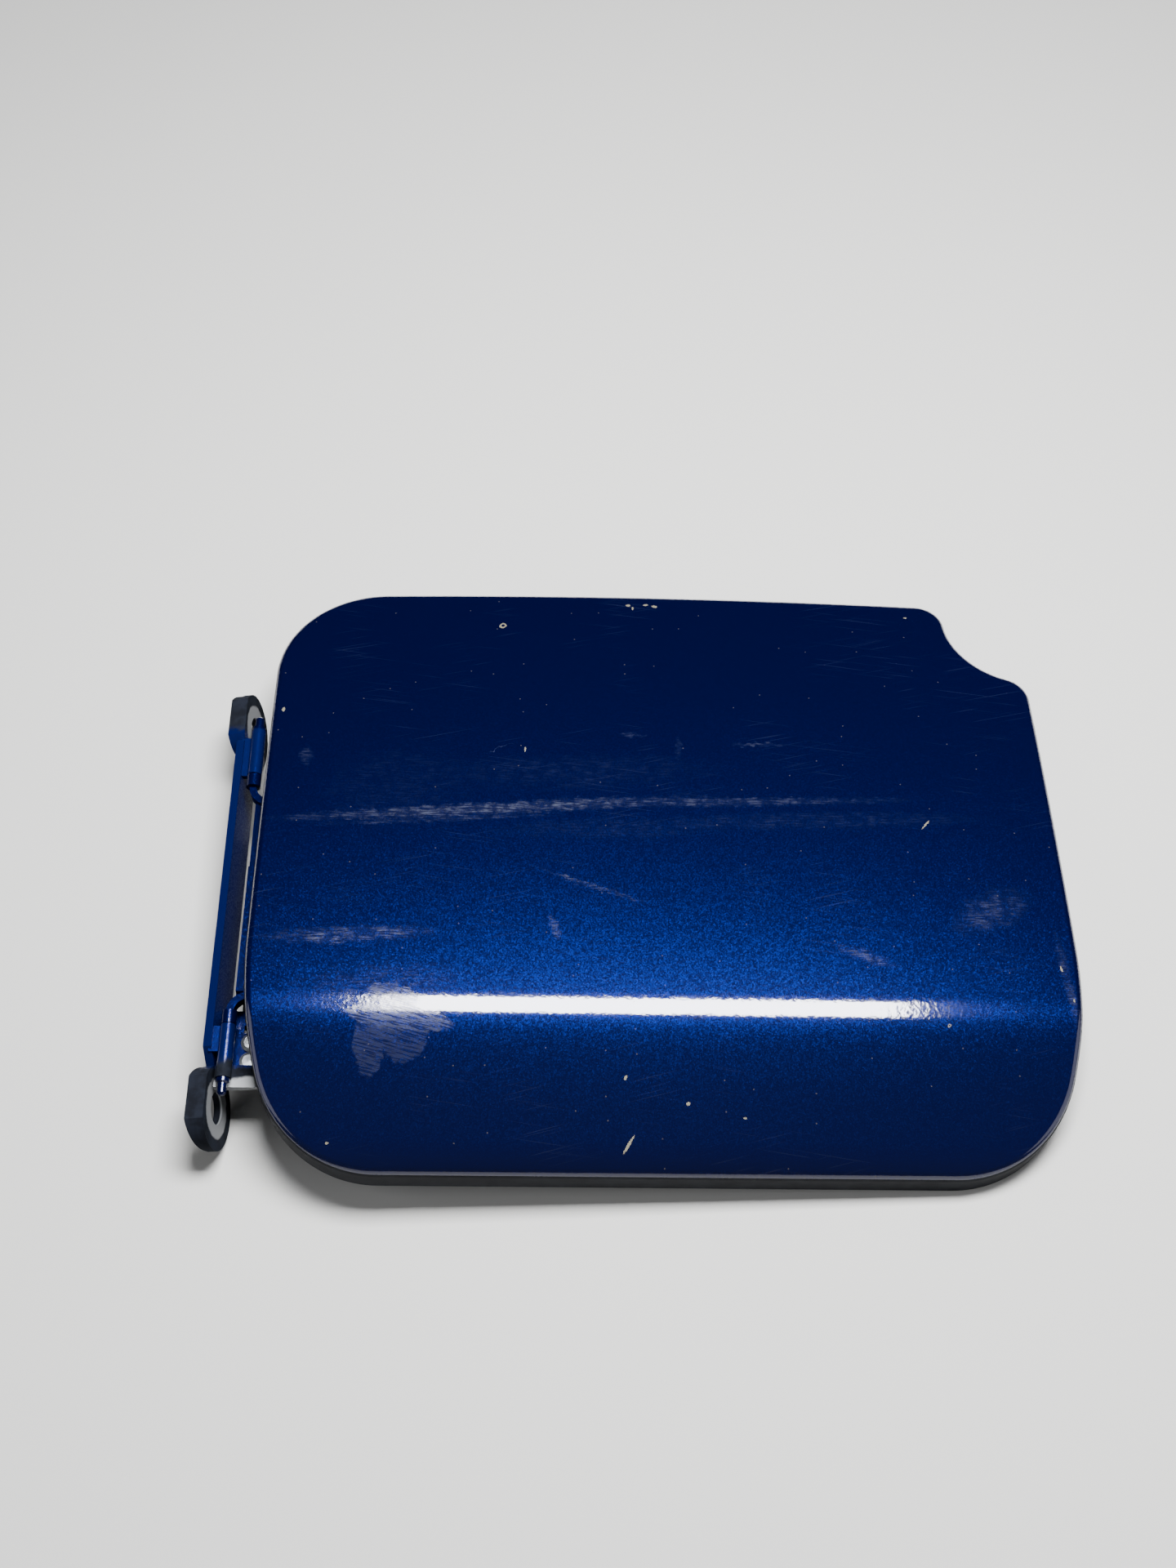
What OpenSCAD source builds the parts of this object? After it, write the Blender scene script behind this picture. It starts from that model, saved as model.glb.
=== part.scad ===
// Car fuel filler flap with its pressed-steel hinge.
// Modelled lying on a bench with its painted face up: X runs from the hinge to
// the finger notch, Y from the front rim to the far rim, Z up.
// The origin is the centre of the front screw hole of the hinge bracket.

/* [Panel outline] */
// Width of the painted panel
panel_w = 180; // [150:1:220]
// Height of the painted panel, front rim to far rim
panel_h = 149; // [130:1:180]
// Corner radius at the far edge, hinge side
far_corner_r = 26; // [18:1:36]
// Corner radius at both ends of the front edge
front_corner_r = 27; // [20:1:36]
// Radius of the gentle curve that leads each side into its front corner
side_r = 120; // [80:5:200]
// Angle that the gentle curve turns through
side_turn = 14; // [6:1:20]
// Radius of the bow of the far edge
far_bow_r = 1700; // [900:50:3000]
// Radius of the finger notch
notch_r = 19; // [15:0.5:24]
// Radius of the two lips of the finger notch
lip_r = 6.9; // [5:0.1:8]
// How far the notch centre lies outside the panel side
notch_out = 1.3; // [0:0.1:4]
// How far the notch centre lies below the far edge
notch_below = 6.6; // [4:0.1:10]

/* [Panel section] */
// Sheet thickness of the outer panel
skin_t = 0.8; // [0.6:0.1:1.2]
// Depth of the turned-down rim of the outer panel
rim_depth = 7; // [6.4:0.1:7.4]
// Length of the flat front part, from the crease to the front rim
front_len = 32; // [24:1:40]
// Slope of the front part
front_slope = 17; // [12:0.5:22]
// Slope of the far part where it meets the crease
crease_slope = -1.2; // [-3:0.1:0]
// Radius of the crease
crease_r = 21; // [12:1:30]

/* [Inner panel] */
// Sheet thickness of the inner panel
inner_t = 0.8; // [0.6:0.1:1.2]
// Gap between the inner panel's flange and the outer panel's rim
rim_gap = 0.1; // [0.05:0.05:0.3]
// Depth of the inner panel's border under the painted face
border_depth = 4.8; // [4:0.1:5.2]
// Width of that border
border_w = 13; // [11:0.5:18]
// Depth of the inner panel's field under the painted face
field_depth = 2.4; // [2:0.1:3]
// Depth to which the stiffening beads are pressed
bead_depth = 4.4; // [3.6:0.1:5]
// Width of a stiffening bead
bead_w = 9; // [7:0.5:12]
// Length of a stiffening bead
bead_len = 84; // [60:1:95]
// Distance between the middles of the two beads
bead_gap = 56; // [48:1:66]
// Diameter of the two round lightening holes
light_hole_d = 24; // [16:1:30]
// Distance between the lightening holes
light_hole_gap = 50; // [44:1:60]

/* [Hinge] */
// How far the hinge middle lies in front of the panel middle
hinge_in_front = 10.3; // [5:0.5:15]
// Distance from the panel side to the hinge axis
pin_out = 3.4; // [3.2:0.1:5]
// Height of the hinge axis over the chord of the painted face
pin_z = -1; // [-1.5:0.1:-0.8]
// Diameter of the two hinge pins
pin_d = 2; // [1.8:0.1:2.2]
// Radial running clearance of the pins
pin_gap = 0.05; // [0.03:0.01:0.08]
// Wall of the rolled knuckles
knuckle_t = 0.6; // [0.5:0.05:0.7]
// Distance from the hinge middle to the outer end of the arm's knuckles
arm_half = 31; // [27:0.5:34]
// Length of each knuckle of the arm
arm_knuckle_len = 3; // [2:0.2:4]
// Gap between an arm's knuckle and a bracket's knuckle
knuckle_gap = 0.2; // [0.15:0.05:0.5]
// Length of each knuckle of the bracket
bracket_knuckle_len = 12; // [9:0.5:12.5]
// How far each pin stands out of the bracket's knuckle
pin_stand = 3.8; // [2.4:0.1:4.5]

/* [Hinge arm] */
// Sheet thickness of the arm
arm_t = 1.4; // [1:0.1:1.6]
// Depth of the arm's web below the hinge axis, to its top
web_drop = 0.8; // [0.6:0.1:1]
// Half width of the arm under the panel, over its flanges
arm_half_w = 25; // [22:0.5:26]
// Sheet thickness of the arm's flanges
arm_flange_t = 1.6; // [1.2:0.1:1.8]
// Inner radius of the bend where a flange turns along the hinge
flange_bend_r = 3; // [2:0.5:3]
// Height of the flanges over the hinge axis
flange_rise = 0.4; // [0:0.1:0.5]
// How far the arm reaches in under the panel
arm_reach = 32; // [28:1:40]
// Length of the upright lip at the arm's edge
lip_len = 30.5; // [20:0.5:31]
// Distance of the lip's far end from the hinge middle
lip_far_end = 7.2; // [4:0.2:12]

/* [Hinge bracket] */
// Sheet thickness of the bracket
bracket_t = 1.8; // [1.4:0.1:2]
// Gap between the hinge axis and the bracket's plate
plate_gap = 3.2; // [3:0.1:4]
// Height of the plate's top edge over the hinge axis
plate_rise = 0.3; // [-0.5:0.1:0.5]
// Lean of the plate from square to the panel
bracket_lean = 11; // [6:0.5:14]
// Height of the plate between the eyes
plate_h = 10; // [8.5:0.5:12]
// Distance of the top edge's front end from the front eye's centre
front_shoulder = 11.3; // [10:0.1:13]
// Distance of the top edge's far end from the far eye's centre
far_shoulder = 6.8; // [6:0.1:9]
// Size of the plate's slanted corners
plate_corner = 4; // [3:0.5:5]
// Distance between the two screw eyes
eye_spacing = 94.6; // [92:0.2:104]
// Diameter of a screw eye
eye_d = 18; // [15:0.5:20]
// Diameter of the screw holes
screw_hole_d = 7; // [5.5:0.1:8]
// Depth of the eye centres below the plate's top edge
eye_drop = 7.2; // [7:0.1:9]
// Depth of the pressed collar at the top of each eye
collar_depth = 2.4; // [1:0.1:3]
// Length of the wing that reaches under the panel
wing_len = 10; // [8:0.5:12]
// Depth of the wing below the hinge axis, to its top
wing_drop = 5.5; // [5:0.1:6]
// Length of the stop bar beside the wing
stop_len = 15.5; // [13:0.5:17]
// Width of the stop bar
stop_w = 3.8; // [3:0.1:4]
// Depth of the stop bar below the hinge axis, to its top
stop_drop = 1.9; // [1.8:0.1:2.4]
// Gap between the stop bar's pad and the panel's rim
stop_gap = 0.5; // [0.3:0.1:1]

/* [Spring] */
// Sheet thickness of the leaf spring
spring_t = 0.7; // [0.5:0.1:0.9]
// Width of the leaf spring
spring_w = 5.4; // [4:0.2:6]
// Gap between the spring's free end and the arm's web
spring_gap = 0.3; // [0.2:0.05:0.5]
// Length of the spring's first rising leg
spring_knee = 5; // [4:0.5:6]
// Rise of that leg
spring_rise = 1.4; // [1:0.1:1.8]
// Distance of the spring's highest point from the hinge middle
spring_tip = 7; // [5:0.5:9]
// Half length of the rounded part behind that point
spring_round = 2; // [1:0.1:3]

/* [Latch] */
// Width of the striker's base plate along the panel
striker_w = 22; // [18:1:28]
// Height of the striker's base plate
striker_h = 16; // [13:0.5:20]
// Sheet thickness of the striker
striker_t = 1.5; // [1.2:0.1:2]
// Length of the striker's tongue
tongue_len = 8.2; // [7:0.2:9]
// Width of the striker's tongue
tongue_w = 11; // [9:0.5:14]
// Diameter of the hole for the locking pin
lock_hole_d = 4.5; // [3.5:0.1:5]
// Distance from the panel side to the striker's middle
striker_in = 26; // [22:1:34]

/* [Fasteners] */
// Shank diameter of the rivets
rivet_d = 4; // [3:0.1:4.5]
// Head diameter of the rivets
rivet_head_d = 7; // [6:0.1:7.5]
// Height of a rivet head
rivet_head_h = 1.1; // [0.8:0.1:1.4]
// Shank diameter of the leaf spring's rivets
small_rivet_d = 2.4; // [2:0.1:2.8]
// Head diameter of the leaf spring's rivets
small_head_d = 4.2; // [3.6:0.1:4.4]
// Height of the leaf spring's rivet heads
small_head_h = 0.8; // [0.6:0.1:1]
// Clearance of a rivet in its hole, on the radius
rivet_gap = 0.05; // [0.02:0.01:0.1]

/* [Buffers and pads] */
// Diameter of the rubber buffers
buffer_d = 8; // [6.5:0.1:9]
// Height of a buffer below the inner panel
buffer_h = 1.4; // [1:0.1:1.8]
// Diameter of a buffer's stem
buffer_stem_d = 4; // [3:0.1:4.5]
// Distance of the buffers from the panel's edges
buffer_in = 8; // [7.4:0.1:8.5]
// Distance of the buffer beside the crease from the crease
buffer_crease_in = 6; // [4:0.5:10]
// Distance of the hinge side's buffer from the far rim
buffer_left_in = 34; // [30:1:44]
// Distance of the latch side's buffer from the far rim
buffer_right_in = 52; // [40:1:60]
// Distance of the front buffer from the panel's middle
buffer_front_x = 30; // [10:1:45]
// Diameter of the anti-drum pads
pad_d = 16; // [10:1:20]
// Distance of the two far pads from the panel's middle
pad_spread = 30; // [20:1:40]
// Distance of the two far pads from the far rim
pad_far_in = 36; // [30:1:44]
// Distance of the front pad from the crease
pad_crease_in = 8; // [8:1:14]
// Gap round the pads and buffers
soft_gap = 0.1; // [0.05:0.05:0.3]

/* [Hidden] */
$fn = 64;
arc_step = 6;
over = 1;
tall = 60;
half_w = panel_w / 2;
half_h = panel_h / 2;

// Paint and metal colours
blue = "#173f8f";
raw_steel = "#6c6f73";
zinc = "#9a9da1";
rubber_black = "#1b1b1c";
mastic_grey = "#55585a";

// Crease and crown of the painted face, in the Y-Z plane
crease_y = -half_h + front_len;
crease_z = front_len * tan(front_slope);
crease_tangent = crease_r * tan((front_slope - crease_slope) / 2);
crown_start = [crease_y + crease_tangent * cos(crease_slope),
               crease_z + crease_tangent * sin(crease_slope)];
crown_chord = [half_h - crown_start[0], -crown_start[1]];
crown_turn = crease_slope - atan(crown_chord[1] / crown_chord[0]);
crown_r = norm(crown_chord) / (2 * sin(crown_turn));
crown_centre = crown_start - crown_r * [-sin(crease_slope), cos(crease_slope)];
crease_centre = crown_start - crease_r * [-sin(crease_slope), cos(crease_slope)];
crease_end_y = crease_centre[0] - crease_r * sin(front_slope);

function face_z(y) =
    y >= crown_start[0] ? crown_centre[1] + sqrt(pow(crown_r, 2) - pow(y - crown_centre[0], 2)) :
    y >= crease_end_y ? crease_centre[1] + sqrt(pow(crease_r, 2) - pow(y - crease_centre[0], 2)) :
    crease_z + (y - crease_y) * tan(front_slope);
function face_slope(y) =
    y >= crown_start[0] ? asin((crown_centre[0] - y) / crown_r) :
    y >= crease_end_y ? asin((crease_centre[0] - y) / crease_r) :
    front_slope;

// Stations along Y at which the face is drawn, far to front
crown_steps = 12;
crease_steps = 6;
far_y = half_h + over;
stations = concat(
    [for (i = [0:crown_steps]) far_y + (crown_start[0] - far_y) * i / crown_steps],
    [for (i = [1:crease_steps]) let (a = crease_slope + (front_slope - crease_slope) * i / crease_steps)
        crease_centre[0] - crease_r * sin(a)],
    [-half_h - over]);

// Outline of the panel, set in by d; lips of the notch with radius r
notch_centre = [half_w + notch_out, half_h - notch_below];
bow_y = half_h - far_bow_r;
function arc(c, r, a0, a1) =
    let (n = max(2, ceil(abs(a1 - a0) / arc_step)))
    [for (i = [0:n]) c + r * [cos(a0 + (a1 - a0) * i / n), sin(a0 + (a1 - a0) * i / n)]];
function side_lip(d, r) =
    let (x = half_w - d - r, k = notch_r + d + r)
    [x, notch_centre[1] - sqrt(pow(k, 2) - pow(notch_centre[0] - x, 2))];
function far_lip(d, r, x, turns) =
    let (k = notch_r + d + r,
         y = bow_y + sqrt(pow(far_bow_r - d - r, 2) - pow(x, 2)))
    turns == 0 ? [x, y] :
    far_lip(d, r, notch_centre[0] - sqrt(pow(k, 2) - pow(notch_centre[1] - y, 2)), turns - 1);
function angle_of(v) = atan2(v[1], v[0]);
function outline(d, r) =
    let (big = side_r - d,
         small = front_corner_r - d,
         side_y = -half_h + front_corner_r + (side_r - front_corner_r) * sin(side_turn),
         big_c = [half_w - side_r, side_y],
         small_c = big_c + (side_r - front_corner_r) * [cos(side_turn), -sin(side_turn)],
         lip_a = side_lip(d, r),
         lip_b = far_lip(d, r, notch_centre[0] - notch_r - d - r, 5),
         corner_x = -half_w + far_corner_r,
         corner_c = [corner_x, bow_y + sqrt(pow(far_bow_r - far_corner_r, 2) - pow(corner_x, 2))],
         bow_c = [0, bow_y])
    concat(
        arc(small_c, small, -90, -side_turn),
        arc(big_c, big, -side_turn, 0),
        arc(lip_a, r, 0, angle_of(notch_centre - lip_a)),
        arc(notch_centre, notch_r + d, angle_of(lip_a - notch_centre) + 360,
            angle_of(lip_b - notch_centre) % 360 + (angle_of(lip_b - notch_centre) < 0 ? 360 : 0)),
        arc(lip_b, r, angle_of(notch_centre - lip_b), angle_of(lip_b - bow_c)),
        arc(bow_c, far_bow_r - d, angle_of(lip_b - bow_c) + 0.3, angle_of(corner_c - bow_c) - 0.3),
        arc(corner_c, far_corner_r - d, angle_of(corner_c - bow_c), 180),
        [for (p = arc(big_c, big, 0, -side_turn)) [-p[0], p[1]]],
        [for (p = arc(small_c, small, -side_turn, -90)) [-p[0], p[1]]]);

module panel_shape(d) {
    polygon(outline(d, lip_r - d));
}
module field_shape(d) {
    polygon(outline(d, 4));
}

// The layer between two depths under the painted face
module layer(d0, d1) {
    points = concat([for (y = stations) [y, face_z(y) - d0]],
                    [for (i = [len(stations) - 1:-1:0]) [stations[i], face_z(stations[i]) - d1]]);
    rotate([90, 0, 90])
        translate([0, 0, -half_w - over])
            linear_extrude(panel_w + 2 * over) polygon(points);
}
module pressed(d0, d1) {
    intersection() {
        translate([0, 0, -tall / 2]) linear_extrude(tall) children();
        layer(d0, d1);
    }
}
// Places children on the underside, square to the face, depth d under it
module under_face(x, y, d) {
    translate([x, y, face_z(y) - d]) rotate([face_slope(y), 0, 0]) children();
}

// Hinge places, in the panel's own frame
hinge_y = -hinge_in_front;
pin_x = -half_w - pin_out;
bore_r = pin_d / 2 + pin_gap;
knuckle_r = bore_r + knuckle_t;
knuckle_in = arm_half - arm_knuckle_len;
bracket_near = arm_half + knuckle_gap;
bracket_far = bracket_near + bracket_knuckle_len;
web_top_z = pin_z - web_drop;
pad_x0 = -half_w + 6;
pad_x1 = -half_w + arm_reach + 1;
pad_half = arm_half_w - arm_flange_t - 1;
rivet_x = [-half_w + 12, -half_w + arm_reach - 7];
rivet_y = pad_half - 8;
striker_x = half_w - striker_in;
striker_pad_depth = border_depth;
striker_rivet_y = striker_w / 2 - 4.5;

// Resting place: the eyes and the front rim touch the bench
eye_half = eye_spacing / 2;
plate_front = eye_half - front_shoulder;
plate_far = eye_half - far_shoulder;
plate_x = pin_x - plate_gap;
plate_z = pin_z + plate_rise;
function plate_point(x, z) =
    [plate_x + x * cos(bracket_lean) - z * sin(bracket_lean), plate_z + x * sin(bracket_lean) + z * cos(bracket_lean)];
eye_low = plate_point(-bracket_t, -eye_drop - eye_d / 2);
eye_mid = plate_point(-bracket_t / 2, -eye_drop);
rim_low = [half_w - front_corner_r, face_z(-half_h) - rim_depth];
rest_tilt = atan((rim_low[1] - eye_low[1]) / (rim_low[0] - eye_low[0]));
eye_centre = [eye_mid[0], hinge_y - eye_half, eye_mid[1]];

module on_bench() {
    rotate([0, rest_tilt, 0]) translate(-eye_centre) children();
}
module at_pin() {
    translate([pin_x, hinge_y, pin_z]) children();
}
module at_plate() {
    translate([plate_x, hinge_y, plate_z]) rotate([0, -bracket_lean, 0]) children();
}
module along_y(r, y0, y1) {
    translate([0, y1, 0]) rotate([90, 0, 0]) cylinder(r = r, h = y1 - y0);
}

module outer_panel() {
    color(blue)
        difference() {
            pressed(0, rim_depth) panel_shape(0);
            pressed(skin_t, rim_depth + over) panel_shape(skin_t);
        }
}

// Inner panel: a pressed tray with two beads, two round holes and the hinge and striker seats
inner_edge = skin_t + rim_gap;
module bead_shape(side, d) {
    translate([0, side * bead_gap / 2 - 6])
        hull()
            for (e = [-1, 1])
                translate([e * (bead_len - bead_w) / 2, 0]) circle(r = bead_w / 2 + d, $fn = 32);
}
module hinge_seat_shape(d) {
    translate([pad_x0 - d, hinge_y - pad_half - d])
        square([pad_x1 - pad_x0 + 2 * d, 2 * (pad_half + d)]);
}
module striker_seat_block(d, z) {
    striker_place()
        translate([-striker_h / 2 - 2 - d, -striker_w / 2 - 2 - d, z])
            cube([striker_h + 4 + 2 * d, striker_w + 4 + 2 * d, tall]);
}
module under_layer(top_z) {
    translate([0, 0, top_z]) linear_extrude(tall) children();
}
// One side of the inner sheet, shifted by t: the block that fills the tray, less its pressings
module tray_block(t, end_depth) {
    difference() {
        union() {
            pressed(border_depth + t, end_depth) panel_shape(inner_edge + t);
            pressed(field_depth + t, end_depth) field_shape(border_w + t);
        }
        pressed(-over, bead_depth + t) bead_shape(-1, t);
        pressed(-over, bead_depth + t) bead_shape(1, t);
        striker_seat_block(t, inner_t - t);
    }
}
module inner_panel() {
    color(blue)
        difference() {
            union() {
                difference() {
                    tray_block(0, rim_depth - rim_gap);
                    tray_block(inner_t, rim_depth + over);
                    under_layer(web_top_z + inner_t) hinge_seat_shape(0);
                }
                difference() {
                    under_layer(web_top_z) hinge_seat_shape(inner_t);
                    under_layer(web_top_z + inner_t) hinge_seat_shape(0);
                    layer(-tall, field_depth + inner_t / 2);
                }
            }
            for (s = [-1, 1])
                translate([s * light_hole_gap / 2, -6, -tall / 2]) cylinder(d = light_hole_d, h = tall);
            for (i = [1:4]) buffer_place(i)
                translate([0, 0, -over]) cylinder(r = buffer_stem_d / 2 + soft_gap, h = 3 * over);
            for (i = [1:4]) arm_rivet_place(i)
                translate([0, 0, -over]) cylinder(r = rivet_d / 2 + rivet_gap, h = inner_t + 2 * over);
            for (i = [1:2]) striker_rivet_place(i)
                translate([0, 0, -over]) cylinder(r = rivet_d / 2 + rivet_gap, h = inner_t + 2 * over);
        }
}

// Hinge arm: flat web with a lip, and two flanges that turn outward and end in knuckles
module arm_web_shape() {
    translate([arm_flange_t / 2, -arm_half_w])
        square([arm_reach + pin_out - arm_flange_t / 2, 2 * arm_half_w]);
}
module arm_flange_shape() {
    bend_x = arm_flange_t / 2 + flange_bend_r;
    translate([bend_x, arm_half_w - arm_flange_t]) square([pin_out + arm_reach - 4 - bend_x, arm_flange_t]);
    translate([bend_x, arm_half_w + flange_bend_r])
        intersection() {
            difference() {
                circle(r = flange_bend_r + arm_flange_t);
                circle(r = flange_bend_r);
            }
            translate([-2 * flange_bend_r, -2 * flange_bend_r]) square(2 * flange_bend_r);
        }
    translate([-arm_flange_t / 2, arm_half_w + flange_bend_r])
        square([arm_flange_t, arm_half - 0.4 - arm_half_w - flange_bend_r]);
}
module hinge_arm() {
    color(blue)
        difference() {
            at_pin() {
                difference() {
                    union() {
                        translate([0, 0, -web_drop - arm_t]) linear_extrude(arm_t) arm_web_shape();
                        for (m = [0, 1])
                            mirror([0, m, 0]) {
                                translate([0, 0, -web_drop - arm_t])
                                    linear_extrude(web_drop + arm_t + flange_rise) arm_flange_shape();
                                along_y(knuckle_r, knuckle_in, arm_half);
                            }
                        translate([arm_flange_t / 2, lip_far_end - lip_len, -web_drop - arm_t])
                            cube([arm_flange_t, lip_len, web_drop + arm_t + flange_rise]);
                    }
                    along_y(bore_r, knuckle_in, arm_half + over);
                    along_y(bore_r, -arm_half - over, -knuckle_in);
                }
            }
            for (i = [1:4]) arm_rivet_place(i)
                translate([0, 0, -arm_t - over]) cylinder(r = rivet_d / 2 + rivet_gap, h = arm_t + 2 * over);
        }
}

// Hinge bracket: a leaning plate with a screw eye at each end, a knuckle near each eye,
// and at its front a low wing and a stop bar that reach under the panel
eye_top = 0.4;
slot_w = 1;
slot_long = 0.129;
slot_at = [0.186, 0.371];
rivet_at = [0.164, 0.471];
module plate_shape() {
    polygon([[-plate_front, 0], [plate_far, 0], [plate_far + plate_corner, -plate_corner],
             [plate_far + plate_corner, -plate_h], [-plate_front - plate_corner, -plate_h],
             [-plate_front - plate_corner, -plate_corner]]);
    for (s = [-1, 1])
        intersection() {
            translate([s * eye_half, -eye_drop]) circle(d = eye_d);
            translate([s * eye_half - eye_d, -2 * eye_d + eye_top]) square(2 * eye_d);
        }
}
module eye_collar(s) {
    slant = atan(collar_depth / (eye_drop + 5));
    sink = 0.4;
    outer_r = eye_d / 2 - 0.15;
    difference() {
        translate([-bracket_t - collar_depth, s * eye_half, -eye_drop])
            rotate([0, 90, 0])
                difference() {
                    cylinder(r = outer_r, h = collar_depth + sink);
                    translate([0, 0, -over]) cylinder(r = outer_r - bracket_t, h = collar_depth + sink + 2 * over);
                }
        translate([-bracket_t + sink / 2, s * eye_half, -eye_drop - 5])
            rotate([0, -slant, 0]) translate([-2 * eye_d, -eye_d, -2 * eye_d]) cube([2 * eye_d, 2 * eye_d, 4 * eye_d]);
        translate([-eye_d, s * eye_half - eye_d, eye_top - 0.15]) cube(2 * eye_d);
    }
}
module bracket_knuckle(s) {
    y0 = s > 0 ? bracket_near : -bracket_far;
    along_y(knuckle_r, y0, y0 + bracket_knuckle_len);
    neck = min(bracket_knuckle_len, (s > 0 ? plate_far : plate_front) + 1 - bracket_near);
    translate([-plate_gap - 0.6, s > 0 ? bracket_near : -bracket_near - neck, -knuckle_r + 0.1])
        cube([plate_gap + 0.6, neck, 1.3]);
}
wing_y0 = -plate_front - 3.5;
wing_y1 = -arm_half_w - 0.5;
wing_w = wing_y1 - wing_y0;
stop_y0 = wing_y0 - 1.1 - stop_w;
stop_pad_z = face_z(hinge_y + stop_y0) - rim_depth - stop_gap;
module wing() {
    translate([-plate_gap, wing_y0, -wing_drop - bracket_t])
        cube([plate_gap - 2 + wing_len, wing_y1 - wing_y0, bracket_t]);
    translate([-plate_gap + 1, stop_y0, -stop_drop - bracket_t])
        cube([plate_gap - 1 + wing_len - 2, stop_w + 1.1 + 0.1, bracket_t]);
    translate([-plate_gap + 1, wing_y0 - 1.1, -wing_drop - bracket_t])
        cube([plate_gap - 1 + wing_len - 2, 1.1 + 0.1, wing_drop + bracket_t - stop_drop]);
    translate([0, stop_y0, -stop_drop - bracket_t]) cube([stop_len - 2, stop_w, bracket_t]);
    translate([7.4, stop_y0, -stop_drop - bracket_t])
        cube([stop_len - 2 - 7.4, stop_w, stop_pad_z - pin_z + stop_drop + bracket_t]);
}
module hinge_bracket() {
    color(raw_steel)
        difference() {
            union() {
                at_plate() {
                    translate([-bracket_t, 0, 0]) rotate([90, 0, 90]) linear_extrude(bracket_t) plate_shape();
                    for (s = [-1, 1]) eye_collar(s);
                }
                at_pin() {
                    for (s = [-1, 1]) bracket_knuckle(s);
                    wing();
                }
            }
            at_plate()
                for (s = [-1, 1])
                    translate([-tall / 2, s * eye_half, -eye_drop])
                        rotate([0, 90, 0]) cylinder(d = screw_hole_d, h = tall);
            at_pin() {
                along_y(bore_r, bracket_near - over, bracket_far + over);
                along_y(bore_r, -bracket_far - over, -bracket_near + over);
                for (k = slot_at)
                    translate([2.6, wing_y1 - k * wing_w, -wing_drop - bracket_t - over])
                        cube([slot_w, slot_long * wing_w, bracket_t + 2 * over]);
            }
            for (i = [1:2]) spring_rivet_place(i)
                translate([0, 0, -bracket_t - over]) cylinder(r = small_rivet_d / 2 + rivet_gap, h = bracket_t + 2 * over);
        }
}

// Hinge pins: each runs in one knuckle of the arm and one of the bracket
module hinge_pin(i) {
    inner = knuckle_in + 0.2;
    tip = bracket_far + pin_stand;
    color(zinc)
        at_pin()
            mirror([0, i == 1 ? 1 : 0, 0])
                translate([0, inner, 0])
                    rotate([-90, 0, 0])
                        rotate_extrude()
                            polygon([[0, 0], [pin_d / 2, 0], [pin_d / 2, bracket_far + 0.1 - inner],
                                     [knuckle_r - 0.2, bracket_far + 0.1 - inner],
                                     [knuckle_r - 0.2, bracket_far + 0.9 - inner],
                                     [pin_d / 2, bracket_far + 1.2 - inner], [pin_d / 2, tip - 0.5 - inner],
                                     [pin_d / 4, tip - inner], [0, tip - inner]]);
}

// Leaf spring: riveted under the wing, its free end under the arm's web
spring_x = 1.6;
spring_base = -wing_drop - bracket_t - spring_t;
spring_top = -web_drop - arm_t - spring_gap - spring_t;
spring_path = [[wing_y0 + 1, spring_base], [wing_y1 + 0.2, spring_base],
               [wing_y1 + 0.2 + spring_knee, spring_base + spring_rise],
               [-spring_tip - spring_round, spring_top - 0.3], [-spring_tip, spring_top],
               [-spring_tip + 2 * spring_round, spring_top - 0.5]];
module leaf_spring() {
    color(zinc)
        difference() {
            at_pin()
                translate([spring_x, 0, 0])
                    rotate([90, 0, 90])
                        linear_extrude(spring_w)
                            for (i = [0:len(spring_path) - 2]) spring_leg(spring_path[i], spring_path[i + 1]);
            for (i = [1:2]) spring_rivet_place(i)
                translate([0, 0, -bracket_t - spring_t - over])
                    cylinder(r = small_rivet_d / 2 + rivet_gap, h = spring_t + 2 * over);
        }
}
module spring_leg(a, b) {
    polygon([a, b, b + [0, spring_t], a + [0, spring_t]]);
}

// Latch striker: base plate, downward tongue and the hole for the locking pin
module striker_place() {
    under_face(striker_x, 0, striker_pad_depth + inner_t) children();
}
module latch_striker() {
    color(zinc)
        striker_place()
            difference() {
                union() {
                    translate([-striker_h / 2, -striker_w / 2, -striker_t]) cube([striker_h, striker_w, striker_t]);
                    translate([striker_h / 2 - striker_t, -tongue_w / 2, -tongue_len])
                        cube([striker_t, tongue_w, tongue_len]);
                }
                for (i = [1:2])
                    translate([-2, (i * 2 - 3) * striker_rivet_y, -striker_t - over])
                        cylinder(r = rivet_d / 2 + rivet_gap, h = striker_t + 2 * over);
                translate([0, 0, -(tongue_len + striker_t) / 2])
                    rotate([0, 90, 0]) cylinder(d = lock_hole_d, h = striker_h);
            }
}

// Rivets: a shank with a low domed head at each end
module rivet(grip, d, head_d, head_h) {
    color(zinc) {
        translate([0, 0, -grip]) cylinder(d = d, h = grip);
        rivet_head(head_d, head_h);
        translate([0, 0, -grip]) mirror([0, 0, 1]) rivet_head(head_d, head_h);
    }
}
module rivet_head(d, h) {
    rotate_extrude()
        polygon([[0, 0], [d / 2, 0], [d / 2, h * 0.35], [d * 0.34, h * 0.85], [0, h]]);
}
module arm_rivet_place(i) {
    translate([rivet_x[i < 3 ? 0 : 1], hinge_y + (i % 2 == 1 ? -rivet_y : rivet_y), web_top_z]) children();
}
module arm_rivet(i) {
    arm_rivet_place(i) translate([0, 0, inner_t]) rivet(inner_t + arm_t, rivet_d, rivet_head_d, rivet_head_h);
}
module spring_rivet_place(i) {
    at_pin()
        translate([spring_x + spring_w / 2, wing_y0 + rivet_at[i - 1] * wing_w, -wing_drop]) children();
}
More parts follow.
